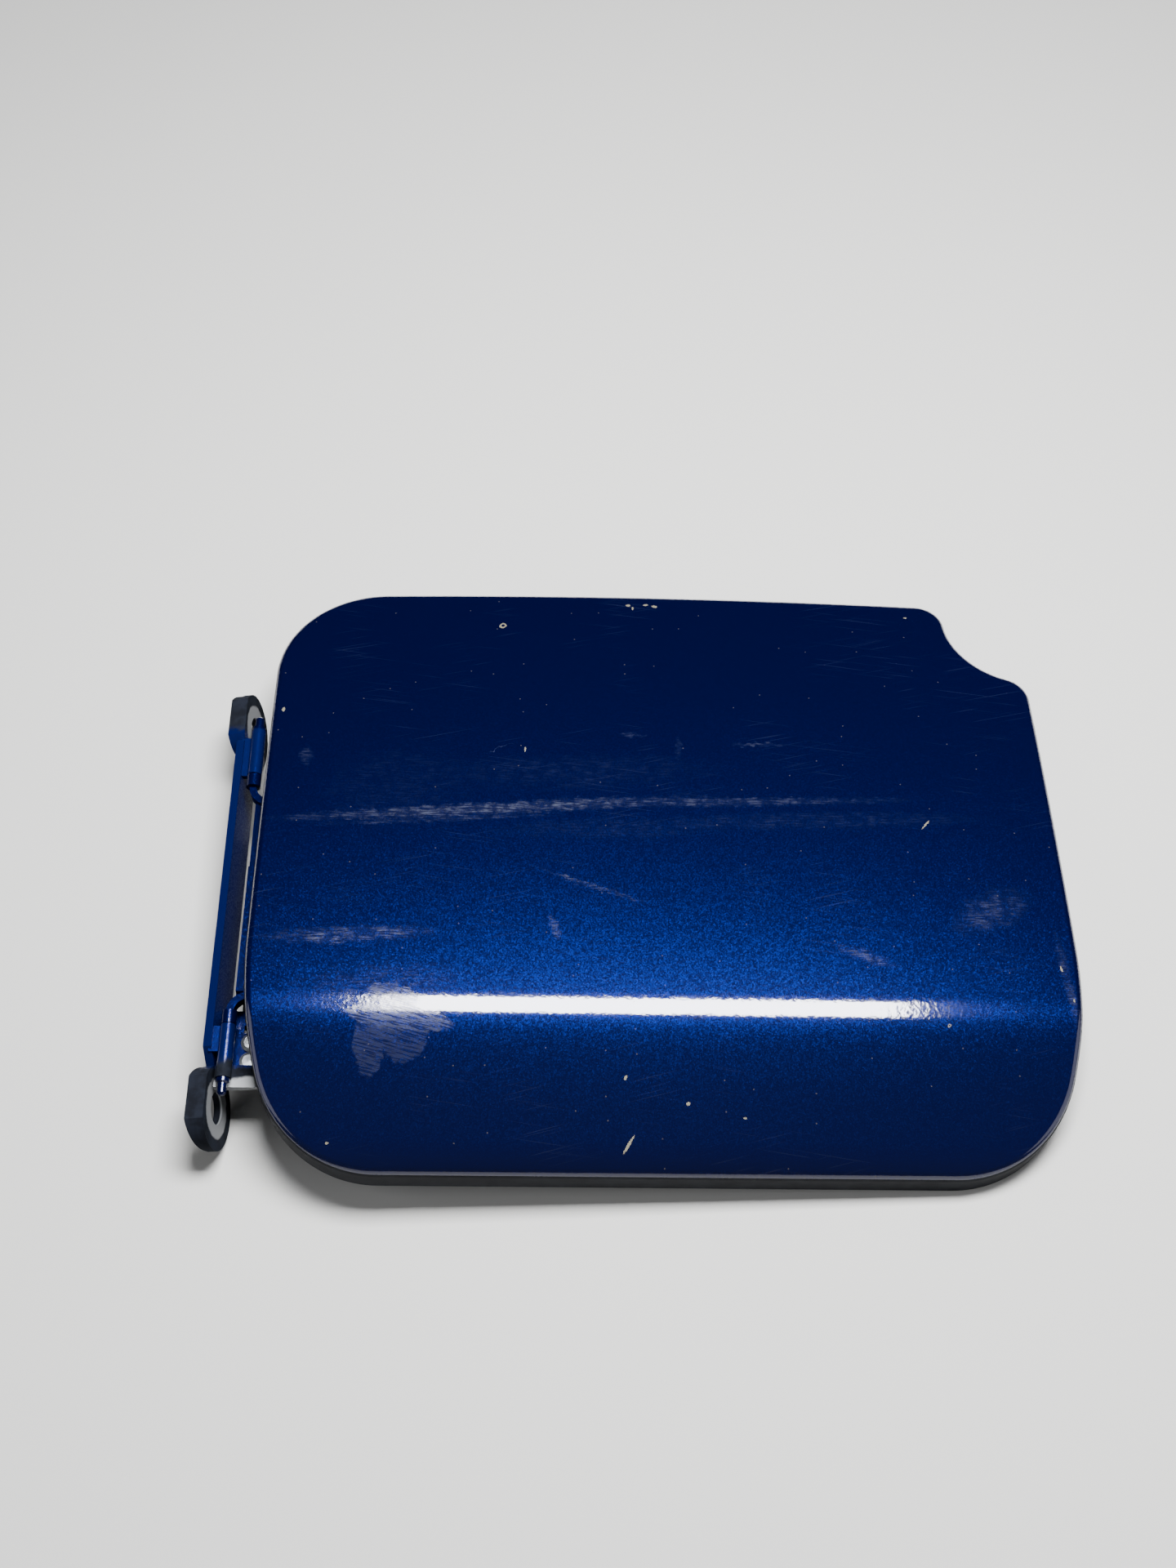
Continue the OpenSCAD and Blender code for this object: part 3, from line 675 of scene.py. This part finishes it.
class Finishes:
    """Makes the part's materials, one for each real coating."""

    def __init__(self) -> None:
        """Starts with no material made."""
        self.made: dict[str, bpy.types.Material] = {}

    def of(self, finish: Finish) -> bpy.types.Material:
        """The material of a finish, made when it is first asked for.

        Args:
            finish: the coating.

        Returns:
            The material.
        """
        if finish.name not in self.made:
            g = Graph(bpy.data.materials.new(finish.name))
            if isinstance(finish, PaintFinish):
                shader = self._paint(g, finish)
            elif isinstance(finish, BracketFinish):
                shader = self._bracket(g, finish)
            else:
                shader = self._plain(g, finish)
            self.made[finish.name] = g.finish(shader)
        return self.made[finish.name]

    def _place(self, g: Graph) -> bpy.types.NodeSocket:
        """Position in the panel's own frame, so that wear stays where it is.

        Args:
            g: the nodes it is added to.

        Returns:
            The position in millimetres.
        """
        coord = g.add("TexCoord", out="Object")
        turned = g.add("VectorRotate", coord, Angle=-PLACE.tilt, rotation_type="Y_AXIS")
        scaled = g.add("VectorMath", turned, Scale=1 / MM, operation="SCALE")
        return g.add("VectorMath", scaled, tuple(PLACE.eye), operation="ADD")

    def _oval(self, g: Graph, xy: bpy.types.NodeSocket, at: Point, size: Point,
              turn: float) -> bpy.types.NodeSocket:
        """Distance from an oval's middle.

        Args:
            g: the nodes it is added to.
            xy: the position in millimetres.
            at: the oval's middle.
            size: its two radii.
            turn: degrees it is turned by.

        Returns:
            A distance that is 1 on the oval's edge.
        """
        moved = g.add("VectorMath", xy, (*at, 0.0), operation="SUBTRACT")
        turned = g.add("VectorRotate", moved, Angle=-math.radians(turn), rotation_type="Z_AXIS")
        scaled = g.add("VectorMath", turned, (1 / size[0], 1 / size[1], 0.0), operation="MULTIPLY")
        return g.add("VectorMath", scaled, out="Value", operation="LENGTH")

    def _shown(self, g: Graph, value: Value, edge: Point) -> bpy.types.NodeSocket:
        """Strength of a mark, softly from 0 at the first value of edge to 1 at the second."""
        return g.add("MapRange", value, *edge, interpolation_type="SMOOTHSTEP")

    def _streaks(self, g: Graph, place: bpy.types.NodeSocket, streak: Streak) -> bpy.types.NodeSocket:
        """Marks drawn out along one direction, as a rub leaves them.

        Args:
            g: the nodes they are added to.
            place: the position in millimetres.
            streak: the marks' direction and size.

        Returns:
            Their strength, from 0 to 1.
        """
        turned = g.add("VectorRotate", place, Angle=math.radians(streak.turn), rotation_type="Z_AXIS")
        drawn = g.add("VectorMath", turned, (1 / streak.length, 1 / streak.width, 0.0), operation="MULTIPLY")
        noise = g.add("TexNoise", drawn, Scale=1.0, Detail=streak.detail, Roughness=0.7,
                      noise_dimensions="2D")
        return self._shown(g, noise, streak.shows)

    def _shaken(self, g: Graph, place: bpy.types.NodeSocket, size: float, by: float,
                detail: float, roughness: float) -> bpy.types.NodeSocket:
        """Moves each position a little, so that a smooth shape gets a ragged edge.

        Args:
            g: the nodes it is added to.
            place: the position in millimetres.
            size: how far apart the edge's teeth are, in millimetres.
            by: the range over which positions move, in millimetres.
            detail: how many finer layers the noise has.
            roughness: how strong those layers are.

        Returns:
            The moved position.
        """
        noise = g.add("TexNoise", place, out=1, Scale=1 / size, Detail=detail, Roughness=roughness,
                      noise_dimensions="2D")
        scaled = g.add("VectorMath", noise, Scale=by, operation="SCALE")
        moved = g.add("VectorMath", place, scaled, operation="ADD")
        return g.add("VectorMath", moved, (by / 2, by / 2, by / 2), operation="SUBTRACT")

    def _wear(self, g: Graph, place: bpy.types.NodeSocket, finish: PaintFinish) -> bpy.types.NodeSocket:
        """Scuffs: clear coat rubbed dull, seen as grey haze with streaks or hatching along the rub.

        Args:
            g: the nodes they are added to.
            place: the position in millimetres, flat.
            finish: the paint, its scuffs and how they look.

        Returns:
            How far the coat is worn, from 0 to 1.
        """
        look = finish.look
        ragged = self._shaken(g, place, look.ragged, look.ragged_by, 4.0, 0.6)
        soft: Value = 0.0
        hatched: Value = 0.0
        for scuff in finish.scuffs:
            far = self._oval(g, ragged, (scuff.x, scuff.y), (scuff.rx, scuff.ry), scuff.turn)
            shown = self._shown(g, far, look.hatched_edge if scuff.hatched else look.soft_edge)
            inside = g.add("Math", shown, scuff.strength, operation="MULTIPLY")
            if scuff.hatched:
                hatched = g.add("Math", hatched, inside, operation="MAXIMUM")
            else:
                soft = g.add("Math", soft, inside, operation="MAXIMUM")
        blots = g.add("TexNoise", place, Scale=1 / look.blot, Detail=4.0, Roughness=0.65,
                      noise_dimensions="2D")
        body = g.add("Math", self._streaks(g, place, look.rub), self._shown(g, blots, look.blot_shows),
                     operation="MULTIPLY")
        rub = g.add("Math", body, *look.rub_body, operation="MULTIPLY_ADD")
        dull = g.add("Math", soft, rub, operation="MULTIPLY")
        hatch = self._streaks(g, place, look.hatch)
        lines = g.add("Math", hatched, g.add("Math", hatch, *look.hatch_body, operation="MULTIPLY_ADD"),
                      operation="MULTIPLY")
        return g.add("Math", dull, lines, operation="MAXIMUM", use_clamp=True)

    def _coated(self, g: Graph, place: bpy.types.NodeSocket, finish: PaintFinish,
                wear: Value) -> bpy.types.NodeSocket:
        """Flakes in a dark blue binder under clear coat; where the coat is worn, it mirrors less.

        Args:
            g: the nodes it is added to.
            place: the position in millimetres.
            finish: the paint.
            wear: how far the coat is worn, from 0 to 1.

        Returns:
            The paint's shader.
        """
        look = finish.look
        # single flakes tip a little each way, which gives the glow its fine sparkle
        cells = g.add("TexVoronoi", place, out="Color", Scale=1 / finish.grain_mm, feature="F1")
        centred = g.add("VectorMath", cells, (0.5, 0.5, 0.5), operation="SUBTRACT")
        tips = g.add("VectorMath", centred, Scale=finish.flake_tip, operation="SCALE")
        tipped = g.add("VectorMath", g.add("NewGeometry", out="Normal"), tips, operation="ADD")
        flake_normal = g.add("VectorMath", tipped, operation="NORMALIZE")
        # orange peel: the clear coat flowed into shallow waves before it dried
        wave = g.add("TexNoise", place, Scale=1 / finish.wave_mm, Detail=2.0)
        peel = g.add("Bump", Strength=finish.wave_strength, Distance=finish.wave_deep, Height=wave)
        flakes = g.add("BsdfPrincipled", Base_Color=colour(finish.flake), Metallic=1.0,
                       Roughness=finish.roughness, Normal=flake_normal)
        binder = g.add("BsdfDiffuse", Color=colour(finish.binder))
        base_coat = g.add("AddShader", flakes, binder)
        rough = g.add("Math", wear, look.roughness_gained, finish.coat_roughness, operation="MULTIPLY_ADD")
        left = g.add("Math", wear, -look.mirror_lost * finish.coat, finish.coat, operation="MULTIPLY_ADD")
        fresnel = g.add("Fresnel", IOR=1.5, Normal=peel)
        gloss = g.add("BsdfGlossy", Color=(1.0, 1.0, 1.0, 1.0), Roughness=rough, Normal=peel)
        return g.add("MixShader", g.add("Math", fresnel, left, operation="MULTIPLY"), base_coat, gloss)

    def _chipped(self, g: Graph, place: bpy.types.NodeSocket, finish: PaintFinish,
                 under: bpy.types.NodeSocket) -> bpy.types.NodeSocket:
        """Chips: ragged spots of pale yellowish primer, and a scatter of fine specks.

        Args:
            g: the nodes they are added to.
            place: the position in millimetres, flat.
            finish: the paint, its chips and how they look.
            under: the shader of the whole paint.

        Returns:
            The shader of the paint with its chips.
        """
        look = finish.look
        ragged = self._shaken(g, place, look.chip_ragged, look.chip_ragged_by, 2.0, 0.5)
        total: Value = 0.0
        for chip in finish.chips:
            far = self._oval(g, ragged, (chip.x, chip.y), (chip.length / 2, chip.width / 2), chip.turn)
            spot = self._shown(g, far, look.chip_edge)
            if chip.ring:
                spot = g.add("Math", spot, self._shown(g, far, look.ring_edge), operation="MULTIPLY")
            total = g.add("Math", total, spot, operation="MAXIMUM")
        dust = g.add("TexVoronoi", place, out="Distance", Scale=1 / look.speck_apart,
                     voronoi_dimensions="2D")
        chosen = g.add("SeparateColor", dust.node.outputs["Color"])
        speck = g.add("Math", self._shown(g, dust, look.speck_edge),
                      self._shown(g, chosen, look.speck_share), operation="MULTIPLY")
        cover = g.add("Math", g.add("Math", total, look.chip_cover, operation="MULTIPLY"),
                      g.add("Math", speck, look.speck_cover, operation="MULTIPLY"), operation="MAXIMUM")
        primer = g.add("BsdfPrincipled", Base_Color=colour(look.chip_primer), Roughness=look.chip_roughness)
        return g.add("MixShader", cover, under, primer)

    def _paint(self, g: Graph, finish: PaintFinish) -> bpy.types.NodeSocket:
        """Metallic paint: blue flakes glow round the lamp's image, and clear coat mirrors the lamp itself.

        Args:
            g: the nodes it is added to.
            finish: the paint's colours and wear.

        Returns:
            The paint's shader.
        """
        place = self._place(g)
        if not finish.scuffs:
            return self._coated(g, place, finish, 0.0)
        look = finish.look
        flat = g.add("VectorMath", place, (1.0, 1.0, 0.0), operation="MULTIPLY")
        wear = self._wear(g, flat, finish)
        # hairlines: wiping marks so fine that only their glint shows
        lines = g.add("Math", self._streaks(g, flat, look.hairs[0]), self._streaks(g, flat, look.hairs[1]),
                      operation="MAXIMUM")
        where = g.add("TexNoise", flat, Scale=1 / look.hair_area, Detail=2.0, noise_dimensions="2D")
        hair = g.add("Math", lines, self._shown(g, where, look.hair_shows), operation="MULTIPLY")
        haze = g.add("BsdfPrincipled", Base_Color=colour(look.haze), Roughness=look.haze_roughness,
                     Specular_IOR_Level=look.haze_gloss)
        lost = g.add("Math", g.add("Math", wear, look.haze_cover, operation="MULTIPLY"),
                     g.add("Math", hair, look.hair_cover, operation="MULTIPLY"),
                     operation="ADD", use_clamp=True)
        worn = g.add("MixShader", lost, self._coated(g, place, finish, wear), haze)
        return self._chipped(g, flat, finish, worn)

    def _bracket(self, g: Graph, finish: BracketFinish) -> bpy.types.NodeSocket:
        """The bracket: blue paint on plate and knuckles, dark primer elsewhere and half mixed into the blue
        low on the plate as painted shade, bare steel round the screws.

        Args:
            g: the nodes it is added to.
            finish: the coatings and where they end.

        Returns:
            The bracket's shader.
        """
        hinge = PLACE.hinge
        lean = math.radians(hinge.lean)
        edge_x, edge_z = PLACE.plate_point(0.0, 0.0)
        place = self._place(g)
        moved = g.add("VectorMath", place, (edge_x, -hinge.in_front, edge_z), operation="SUBTRACT")
        along = g.add("SeparateXYZ", moved, out="Y")
        deep, tall = (
            g.add("VectorMath", moved, way, out="Value", operation="DOT_PRODUCT")
            for way in ((math.cos(lean), 0.0, math.sin(lean)), (-math.sin(lean), 0.0, math.cos(lean)))
        )
        cloud = g.add("TexNoise", place, Scale=1 / finish.cloud_mm, Detail=4.0, Roughness=0.6)
        edge = g.add("Math", cloud, finish.edge_by, -finish.edge_by / 2, operation="MULTIPLY_ADD")
        front = -(hinge.eye_spacing / 2 - hinge.front_shoulder + finish.overspray)
        far = hinge.eye_spacing / 2 - hinge.far_shoulder + finish.overspray
        shaken = g.add("Math", along, edge, operation="ADD")
        soft = finish.end_soft
        ends = g.add("Math", self._shown(g, shaken, (front - soft, front + soft)),
                     self._shown(g, shaken, (far + soft, far - soft)), operation="MULTIPLY")
        # Lower down the plate the blue thins to half over the dark primer: painted shade of the deep gap
        # between the plate and the flap
        low, soft = -finish.blue_down_to_painted_shade, finish.down_soft
        high = self._shown(g, g.add("Math", edge, finish.down_ragged, tall, operation="MULTIPLY_ADD"),
                           (low - soft, low + soft))
        blue_above_painted_shade = g.add("Math", high, finish.thin, operation="MAXIMUM")
        blue = g.add("Math", ends, blue_above_painted_shade, operation="MULTIPLY")
        tint = g.add("Mix", self._shown(g, cloud, finish.cloud_shows), i6=colour(finish.primer),
                     i7=colour(finish.primer_and_shade_other), out=2, data_type="RGBA")
        primer = g.add("BsdfPrincipled", Base_Color=tint, Roughness=finish.primer_roughness,
                       Specular_IOR_Level=finish.primer_gloss)
        mixed = g.add("MixShader", blue, primer, self._coated(g, place, finish.paint, 0.0))
        # the screw heads rubbed a pale ring into the face round each hole
        flat = g.add("CombineXYZ", along, tall)
        rings: Value = 0.0
        for end in (-1, 1):
            away = self._oval(g, flat, (end * hinge.eye_spacing / 2, -hinge.eye_drop), (1.0, 1.0), 0.0)
            ragged = g.add("Math", edge, finish.ring_ragged, away, operation="MULTIPLY_ADD")
            ring = self._shown(g, ragged, (finish.ring_r + finish.ring_soft,
                                           finish.ring_r - finish.ring_soft))
            rings = g.add("Math", rings, ring, operation="MAXIMUM")
        rings = g.add("Math", rings, self._shown(g, deep, finish.face_depth), operation="MULTIPLY")
        steel = g.add("BsdfPrincipled", Base_Color=colour(finish.bare), Metallic=finish.bare_metallic,
                      Roughness=finish.bare_roughness)
        return g.add("MixShader", rings, mixed, steel)

    def _plain(self, g: Graph, finish: PlainFinish) -> bpy.types.NodeSocket:
        """Primer, plated steel, rubber or mastic: cloudy colour and a fine grain.

        Args:
            g: the nodes it is added to.
            finish: the coating's colours and grain.

        Returns:
            The finish's shader.
        """
        place = self._place(g)
        cloud = g.add("TexNoise", place, Scale=1 / (finish.cloud_grains * finish.grain_mm), Detail=4.0)
        grain = g.add("TexNoise", place, Scale=1 / finish.grain_mm, Detail=3.0)
        tint = g.add("Mix", self._shown(g, cloud, finish.cloud_shows), i6=colour(finish.base),
                     i7=colour(finish.other), out=2, data_type="RGBA")
        bump = g.add("Bump", Strength=0.5, Distance=finish.bump_mm * MM, Height=grain)
        return g.add("BsdfPrincipled", Base_Color=tint, Metallic=finish.metallic, Roughness=finish.roughness,
                     Specular_IOR_Level=finish.specular, Normal=bump)


def new_object(name: str, mesh: bpy.types.Mesh, body: BodyName) -> bpy.types.Object:
    """Adds a mesh to the scene, on its body.

    Args:
        name: the object's name.
        mesh: its mesh, in the row frame.
        body: the body it moves with.

    Returns:
        The object.
    """
    obj = bpy.data.objects.new(name, mesh)
    bpy.context.scene.collection.objects.link(obj)
    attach(obj, body.value)
    log.info("%s: %d faces on %s", name, len(mesh.polygons), body.value)
    return obj


@dataclass
class OuterPanel:
    """The painted sheet, with its true edge radius and its turned-down rim."""

    form: PanelForm
    finishes: Finishes
    roll_steps: int = 8
    painted_steps: int = 5
    hem_soft: float = 0.25
    hem_steps: int = 4
    hem_back_steps: int = 3
    inner_steps: int = 4
    grid_x: float = 4.5
    grid_in: Point = (3.0, 2.0)
    grid_clear: float = 0.7
    vertices: list[Vector] = field(default_factory=list)
    normals: list[Vector] = field(default_factory=list)
    faces: list[tuple[int, ...]] = field(default_factory=list)
    sides: list[Side] = field(default_factory=list)

    def _section(self) -> list[tuple[float, float, float, Side]]:
        """Section of the edge radius, the rim's outside, its lower edge and the inside of the sheet.

        Returns:
            For each loop its inset, its depth, the turn of its normal and the side of the sheet below it.
        """
        r, deep, t, soft = self.form.edge_r, self.form.rim_depth, self.form.skin_t, self.hem_soft
        quarter = math.pi / 2
        section: list[tuple[float, float, float, Side]] = []
        for i in range(self.roll_steps + 1):
            a = quarter * i / self.roll_steps
            side = Side.FACE if i < self.painted_steps else Side.RIM
            section.append((r - r * math.sin(a), r - r * math.cos(a), a, side))
        section.append((0.0, deep - soft, quarter, Side.RIM))
        for i in range(1, self.hem_steps + 1):
            a = quarter * i / self.hem_steps
            section.append((soft - soft * math.cos(a), deep - soft + soft * math.sin(a), quarter + a,
                            Side.RIM))
        section.append((t - soft, deep, 2 * quarter, Side.RIM))
        for i in range(1, self.hem_back_steps + 1):
            a = quarter * i / self.hem_back_steps
            section.append((t - soft + soft * math.sin(a), deep - soft + soft * math.cos(a), 2 * quarter + a,
                            Side.RIM))
        section.append((t, r, 3 * quarter, Side.INSIDE))
        for i in range(1, self.inner_steps + 1):
            a = quarter * (1 - i / self.inner_steps)
            section.append((r - (r - t) * math.sin(a), r - (r - t) * math.cos(a), a + 2 * quarter,
                            Side.INSIDE))
        return section

    def _ring(self, inset: float, depth: float, angle: float) -> list[int]:
        """Adds one loop of points round the panel.

        Args:
            inset: how far it is set in from the outline.
            depth: how far it lies below the painted face.
            angle: how far its normals turn outwards from the face's.

        Returns:
            The loop's vertex numbers.
        """
        ring: list[int] = []
        points = Outline(self.form).points(inset)
        for i, (x, y) in enumerate(points):
            before, after = points[i - 1], points[(i + 1) % len(points)]
            out = Vector((after[1] - before[1], before[0] - after[0], 0.0)).normalized()
            ring.append(len(self.vertices))
            self.vertices.append(Vector((x, y, FACE.z(y) - depth)))
            self.normals.append((FACE.normal(y) * math.cos(angle) + out * math.sin(angle)).normalized())
        return ring

    def _sheet(self, ring: list[int], depth: float, upward: bool) -> None:
        """Fills the area inside a loop with the curved sheet.

        Args:
            ring: the loop's vertex numbers.
            depth: how far the sheet lies below the painted face.
            upward: whether it is the painted face.
        """
        loop = [Vector(self.vertices[i][:2]) for i in ring]
        points = list(loop)
        n = len(loop)
        half = self.form.half_w
        for y in FACE.stations():
            x = -half + self.grid_in[0]
            while x < half - self.grid_in[1]:
                if self._inside(x, y, loop):
                    points.append(Vector((x, y)))
                x += self.grid_x
        verts, _, faces, _, _, owners = geometry.delaunay_2d_cdt(points, [], [list(range(n))], 2, 1e-5)
        index: list[int] = []
        for i, p in enumerate(verts):
            if i < n and (p - loop[i]).length < 1e-4:
                index.append(ring[i])
                continue
            index.append(len(self.vertices))
            self.vertices.append(Vector((p.x, p.y, FACE.z(p.y) - depth)))
            self.normals.append(FACE.normal(p.y) * (1.0 if upward else -1.0))
        for face, owner in zip(faces, owners):
            if 0 not in owner:
                continue
            chosen = tuple(index[i] for i in face)
            if len(set(chosen)) < 3:
                continue
            self.faces.append(chosen if upward else chosen[::-1])
            self.sides.append(Side.FACE if upward else Side.INSIDE)

    def _inside(self, x: float, y: float, loop: list[Vector]) -> bool:
        """Whether a point lies inside a loop and not close to it.

        Args:
            x: the point's place across the panel.
            y: its place along the panel.
            loop: the loop's points.

        Returns:
            True when it does.
        """
        inside = False
        n = len(loop)
        for i in range(n):
            a, b = loop[i], loop[(i + 1) % n]
            if (a.y > y) != (b.y > y) and x < a.x + (y - a.y) / (b.y - a.y) * (b.x - a.x):
                inside = not inside
            if (Vector((x, y)) - a).length < self.grid_clear:
                return False
        return inside

    def build(self) -> bpy.types.Object:
        """Makes the panel.

        Returns:
            The object that stands for the CAD's outer panel.
        """
        section = self._section()
        rings = [self._ring(inset, depth, angle) for inset, depth, angle, _ in section]
        for a, b, (*_, side) in zip(rings, rings[1:], section):
            n = len(a)
            for i in range(n):
                j = (i + 1) % n
                self.faces.append((a[i], b[i], b[j], a[j]))
                self.sides.append(side)
        self._sheet(rings[0], 0.0, True)
        self._sheet(rings[-1], self.form.skin_t, False)
        mesh = bpy.data.meshes.new("outer_panel_sheet")
        move = PLACE.matrix()
        mesh.from_pydata([move @ v for v in self.vertices], [], self.faces)
        mesh.validate()
        for f in mesh.polygons:
            f.use_smooth = True
        if len(self.sides) == len(mesh.polygons):
            mesh.polygons.foreach_set("material_index", [int(side) for side in self.sides])
        mesh.normals_split_custom_set_from_vertices([PLACE.direction(v) for v in self.normals])
        coats = {Side.FACE: BODY_PAINT, Side.RIM: RIM_PRIMER, Side.INSIDE: INNER_PAINT}
        for side in Side:
            mesh.materials.append(self.finishes.of(coats[side]))
        obj = new_object("painted_outer_panel", mesh, BodyName.PANEL)
        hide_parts("outer_panel")
        return obj


@dataclass
class PressedParts:
    """The CAD's own nodes on one body, given rounded edges and their real finishes."""

    finishes: Finishes
    body: BodyName
    edge_mm: float = 0.2
    edge_segments: int = 2
    edge_from: float = 35.0

    def dress(self, name: str, finish: Finish, count: int = 0) -> None:
        """Gives nodes a finish and softens their edges.

        Args:
            name: the CAD node, or what a numbered set of nodes starts with.
            finish: their finish.
            count: how many nodes a numbered set has.
        """
        for node in [f"{name}_{i + 1}" for i in range(count)] or [name]:
            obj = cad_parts[node]
            material = self.finishes.of(finish)
            if obj.data.materials:
                obj.material_slots[0].material = material
            else:
                obj.data.materials.append(material)
            bevel = obj.modifiers.new("rounded edges", "BEVEL")
            bevel.width = self.edge_mm * MM
            bevel.segments = self.edge_segments
            bevel.limit_method = "ANGLE"
            bevel.angle_limit = math.radians(self.edge_from)
            bevel.harden_normals = False
            log.info("%s: %s, on %s", node, material.name, self.body.value)


@dataclass
class FlapHalf:
    """Everything that swings: both sheets, the arm, the striker, the buffers and the pads."""

    finishes: Finishes

    def build(self) -> None:
        """Makes and dresses the pieces."""
        OuterPanel(PanelForm(), self.finishes).build()
        parts = PressedParts(self.finishes, BodyName.PANEL)
        parts.dress("inner_panel", INNER_PAINT)
        parts.dress("hinge_arm", ARM_PAINT)
        parts.dress("latch_striker", ZINC)
        parts.dress("arm_rivet", ZINC, 4)
        parts.dress("striker_rivet", ZINC, 2)
        parts.dress("buffer", RUBBER, 4)
        parts.dress("antidrum_pad", MASTIC, 3)


@dataclass
class BracketHalf:
    """Everything that stays on the car: the bracket, the two pins and the spring."""

    finishes: Finishes

    def build(self) -> None:
        """Dresses the pieces."""
        parts = PressedParts(self.finishes, BodyName.BRACKET)
        parts.dress("hinge_bracket", BRACKET_COAT)
        parts.dress("hinge_pin", ARM_PAINT, 2)
        parts.dress("leaf_spring", SPRING_STEEL)
        parts.dress("spring_rivet", ZINC, 2)


@dataclass(frozen=True)
class Lamp:
    """One soft lamp: place and aim in the panel's frame in millimetres, size in metres, and watts."""

    name: str
    at: Vec
    aim: Vec
    size: Point
    power: float


@dataclass
class Studio:
    """Pale bench, one long soft lamp over the crease, dim fill, and the camera."""

    lamps: tuple[Lamp, ...] = (
        Lamp("long lamp", (31.0, 80.0, 500.0), (0.0, -42.0, 9.0), (0.262, 0.15), 15.0),
        Lamp("left fill", (-900.0, -300.0, 500.0), (0.0, 0.0, 0.0), (0.8, 0.8), 4.0),
        Lamp("right fill", (900.0, -300.0, 500.0), (0.0, 0.0, 0.0), (0.8, 0.8), 4.0),
    )
    bench_half: float = 3.0
    bench_below: float = 0.0001
    bench_colour: str = "#a8a8a7"
    room_tint: tuple[float, float, float, float] = (0.93, 0.96, 1.0, 1.0)
    room_dark: float = 0.008
    room_bright: float = 0.16
    # Where the room turns from dark to bright, as a direction's share towards the far side
    room_turn: Point = (0.25, -0.6)
    camera_mm: Vec = (-33.29, -194.56, 358.20)
    right: Vec = (0.998997, -0.005594, 0.044421)
    up: Vec = (-0.017982, 0.858486, 0.512522)
    lens: float = 41.25
    sensor: float = 36.0
    clip: Point = (0.01, 50.0)

    def floor(self) -> None:
        """Lays the bench under the lowest point of the part."""
        low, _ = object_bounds()
        s, z = self.bench_half, low.z - self.bench_below
        mesh = bpy.data.meshes.new("bench")
        mesh.from_pydata([(-s, -s, z), (s, -s, z), (s, s, z), (-s, s, z)], [], [(0, 1, 2, 3)])
        g = Graph(bpy.data.materials.new("pale bench top"))
        shader = g.add("BsdfPrincipled", Base_Color=colour(self.bench_colour), Roughness=0.9,
                       Specular_IOR_Level=0.1)
        mesh.materials.append(g.finish(shader))
        bench = bpy.data.objects.new("bench", mesh)
        bpy.context.scene.collection.objects.link(bench)
        bench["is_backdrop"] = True

    def hang(self, lamp: Lamp) -> None:
        """Hangs one soft lamp.

        Args:
            lamp: the lamp.
        """
        data = bpy.data.lights.new(lamp.name, "AREA")
        data.shape = "RECTANGLE"
        data.size, data.size_y = lamp.size
        data.energy = lamp.power
        obj = bpy.data.objects.new(lamp.name, data)
        move = PLACE.matrix()
        start, end = move @ Vector(lamp.at), move @ Vector(lamp.aim)
        back = (start - end).normalized()
        side = Vector((1, 0, 0))
        side = (side - back * side.dot(back)).normalized()
        turn = Matrix((side, back.cross(side), back)).transposed()
        obj.matrix_world = Matrix.Translation(start) @ turn.to_4x4()
        bpy.context.scene.collection.objects.link(obj)
        obj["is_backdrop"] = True

    def world(self) -> None:
        """A dim room: nearly black above and behind, brighter in front and at the sides."""
        g = Graph(bpy.data.worlds.new("dim studio"))
        ahead = g.add("SeparateXYZ", g.add("TexCoord", out="Generated"), out="Y")
        light = g.add("MapRange", ahead, *self.room_turn, self.room_dark, self.room_bright,
                      interpolation_type="SMOOTHSTEP")
        bpy.context.scene.world = g.finish(g.add("Background", self.room_tint, light))

    def camera(self) -> None:
        """Puts the camera where the photograph was taken from."""
        data = bpy.data.cameras.new("camera")
        data.sensor_fit = "VERTICAL"
        data.sensor_height = data.sensor_width = self.sensor
        data.lens = self.lens
        data.clip_start, data.clip_end = self.clip
        obj = bpy.data.objects.new("camera", data)
        x, y = PLACE.direction(self.right), PLACE.direction(self.up)
        turn = Matrix((x, y, x.cross(y).normalized())).transposed()
        obj.matrix_world = Matrix.Translation(PLACE.matrix() @ Vector(self.camera_mm)) @ turn.to_4x4()
        bpy.context.scene.collection.objects.link(obj)
        bpy.context.scene.camera = obj

    def build(self) -> None:
        """Makes the whole studio."""
        self.floor()
        for lamp in self.lamps:
            self.hang(lamp)
        self.world()
        self.camera()


def main() -> None:
    """Builds the part, the studio and the camera."""
    logging.basicConfig(level=logging.INFO, format="%(name)s: %(message)s")
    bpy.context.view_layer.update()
    finishes = Finishes()
    FlapHalf(finishes).build()
    BracketHalf(finishes).build()
    Studio().build()


if __name__ == "__main__":
    main()
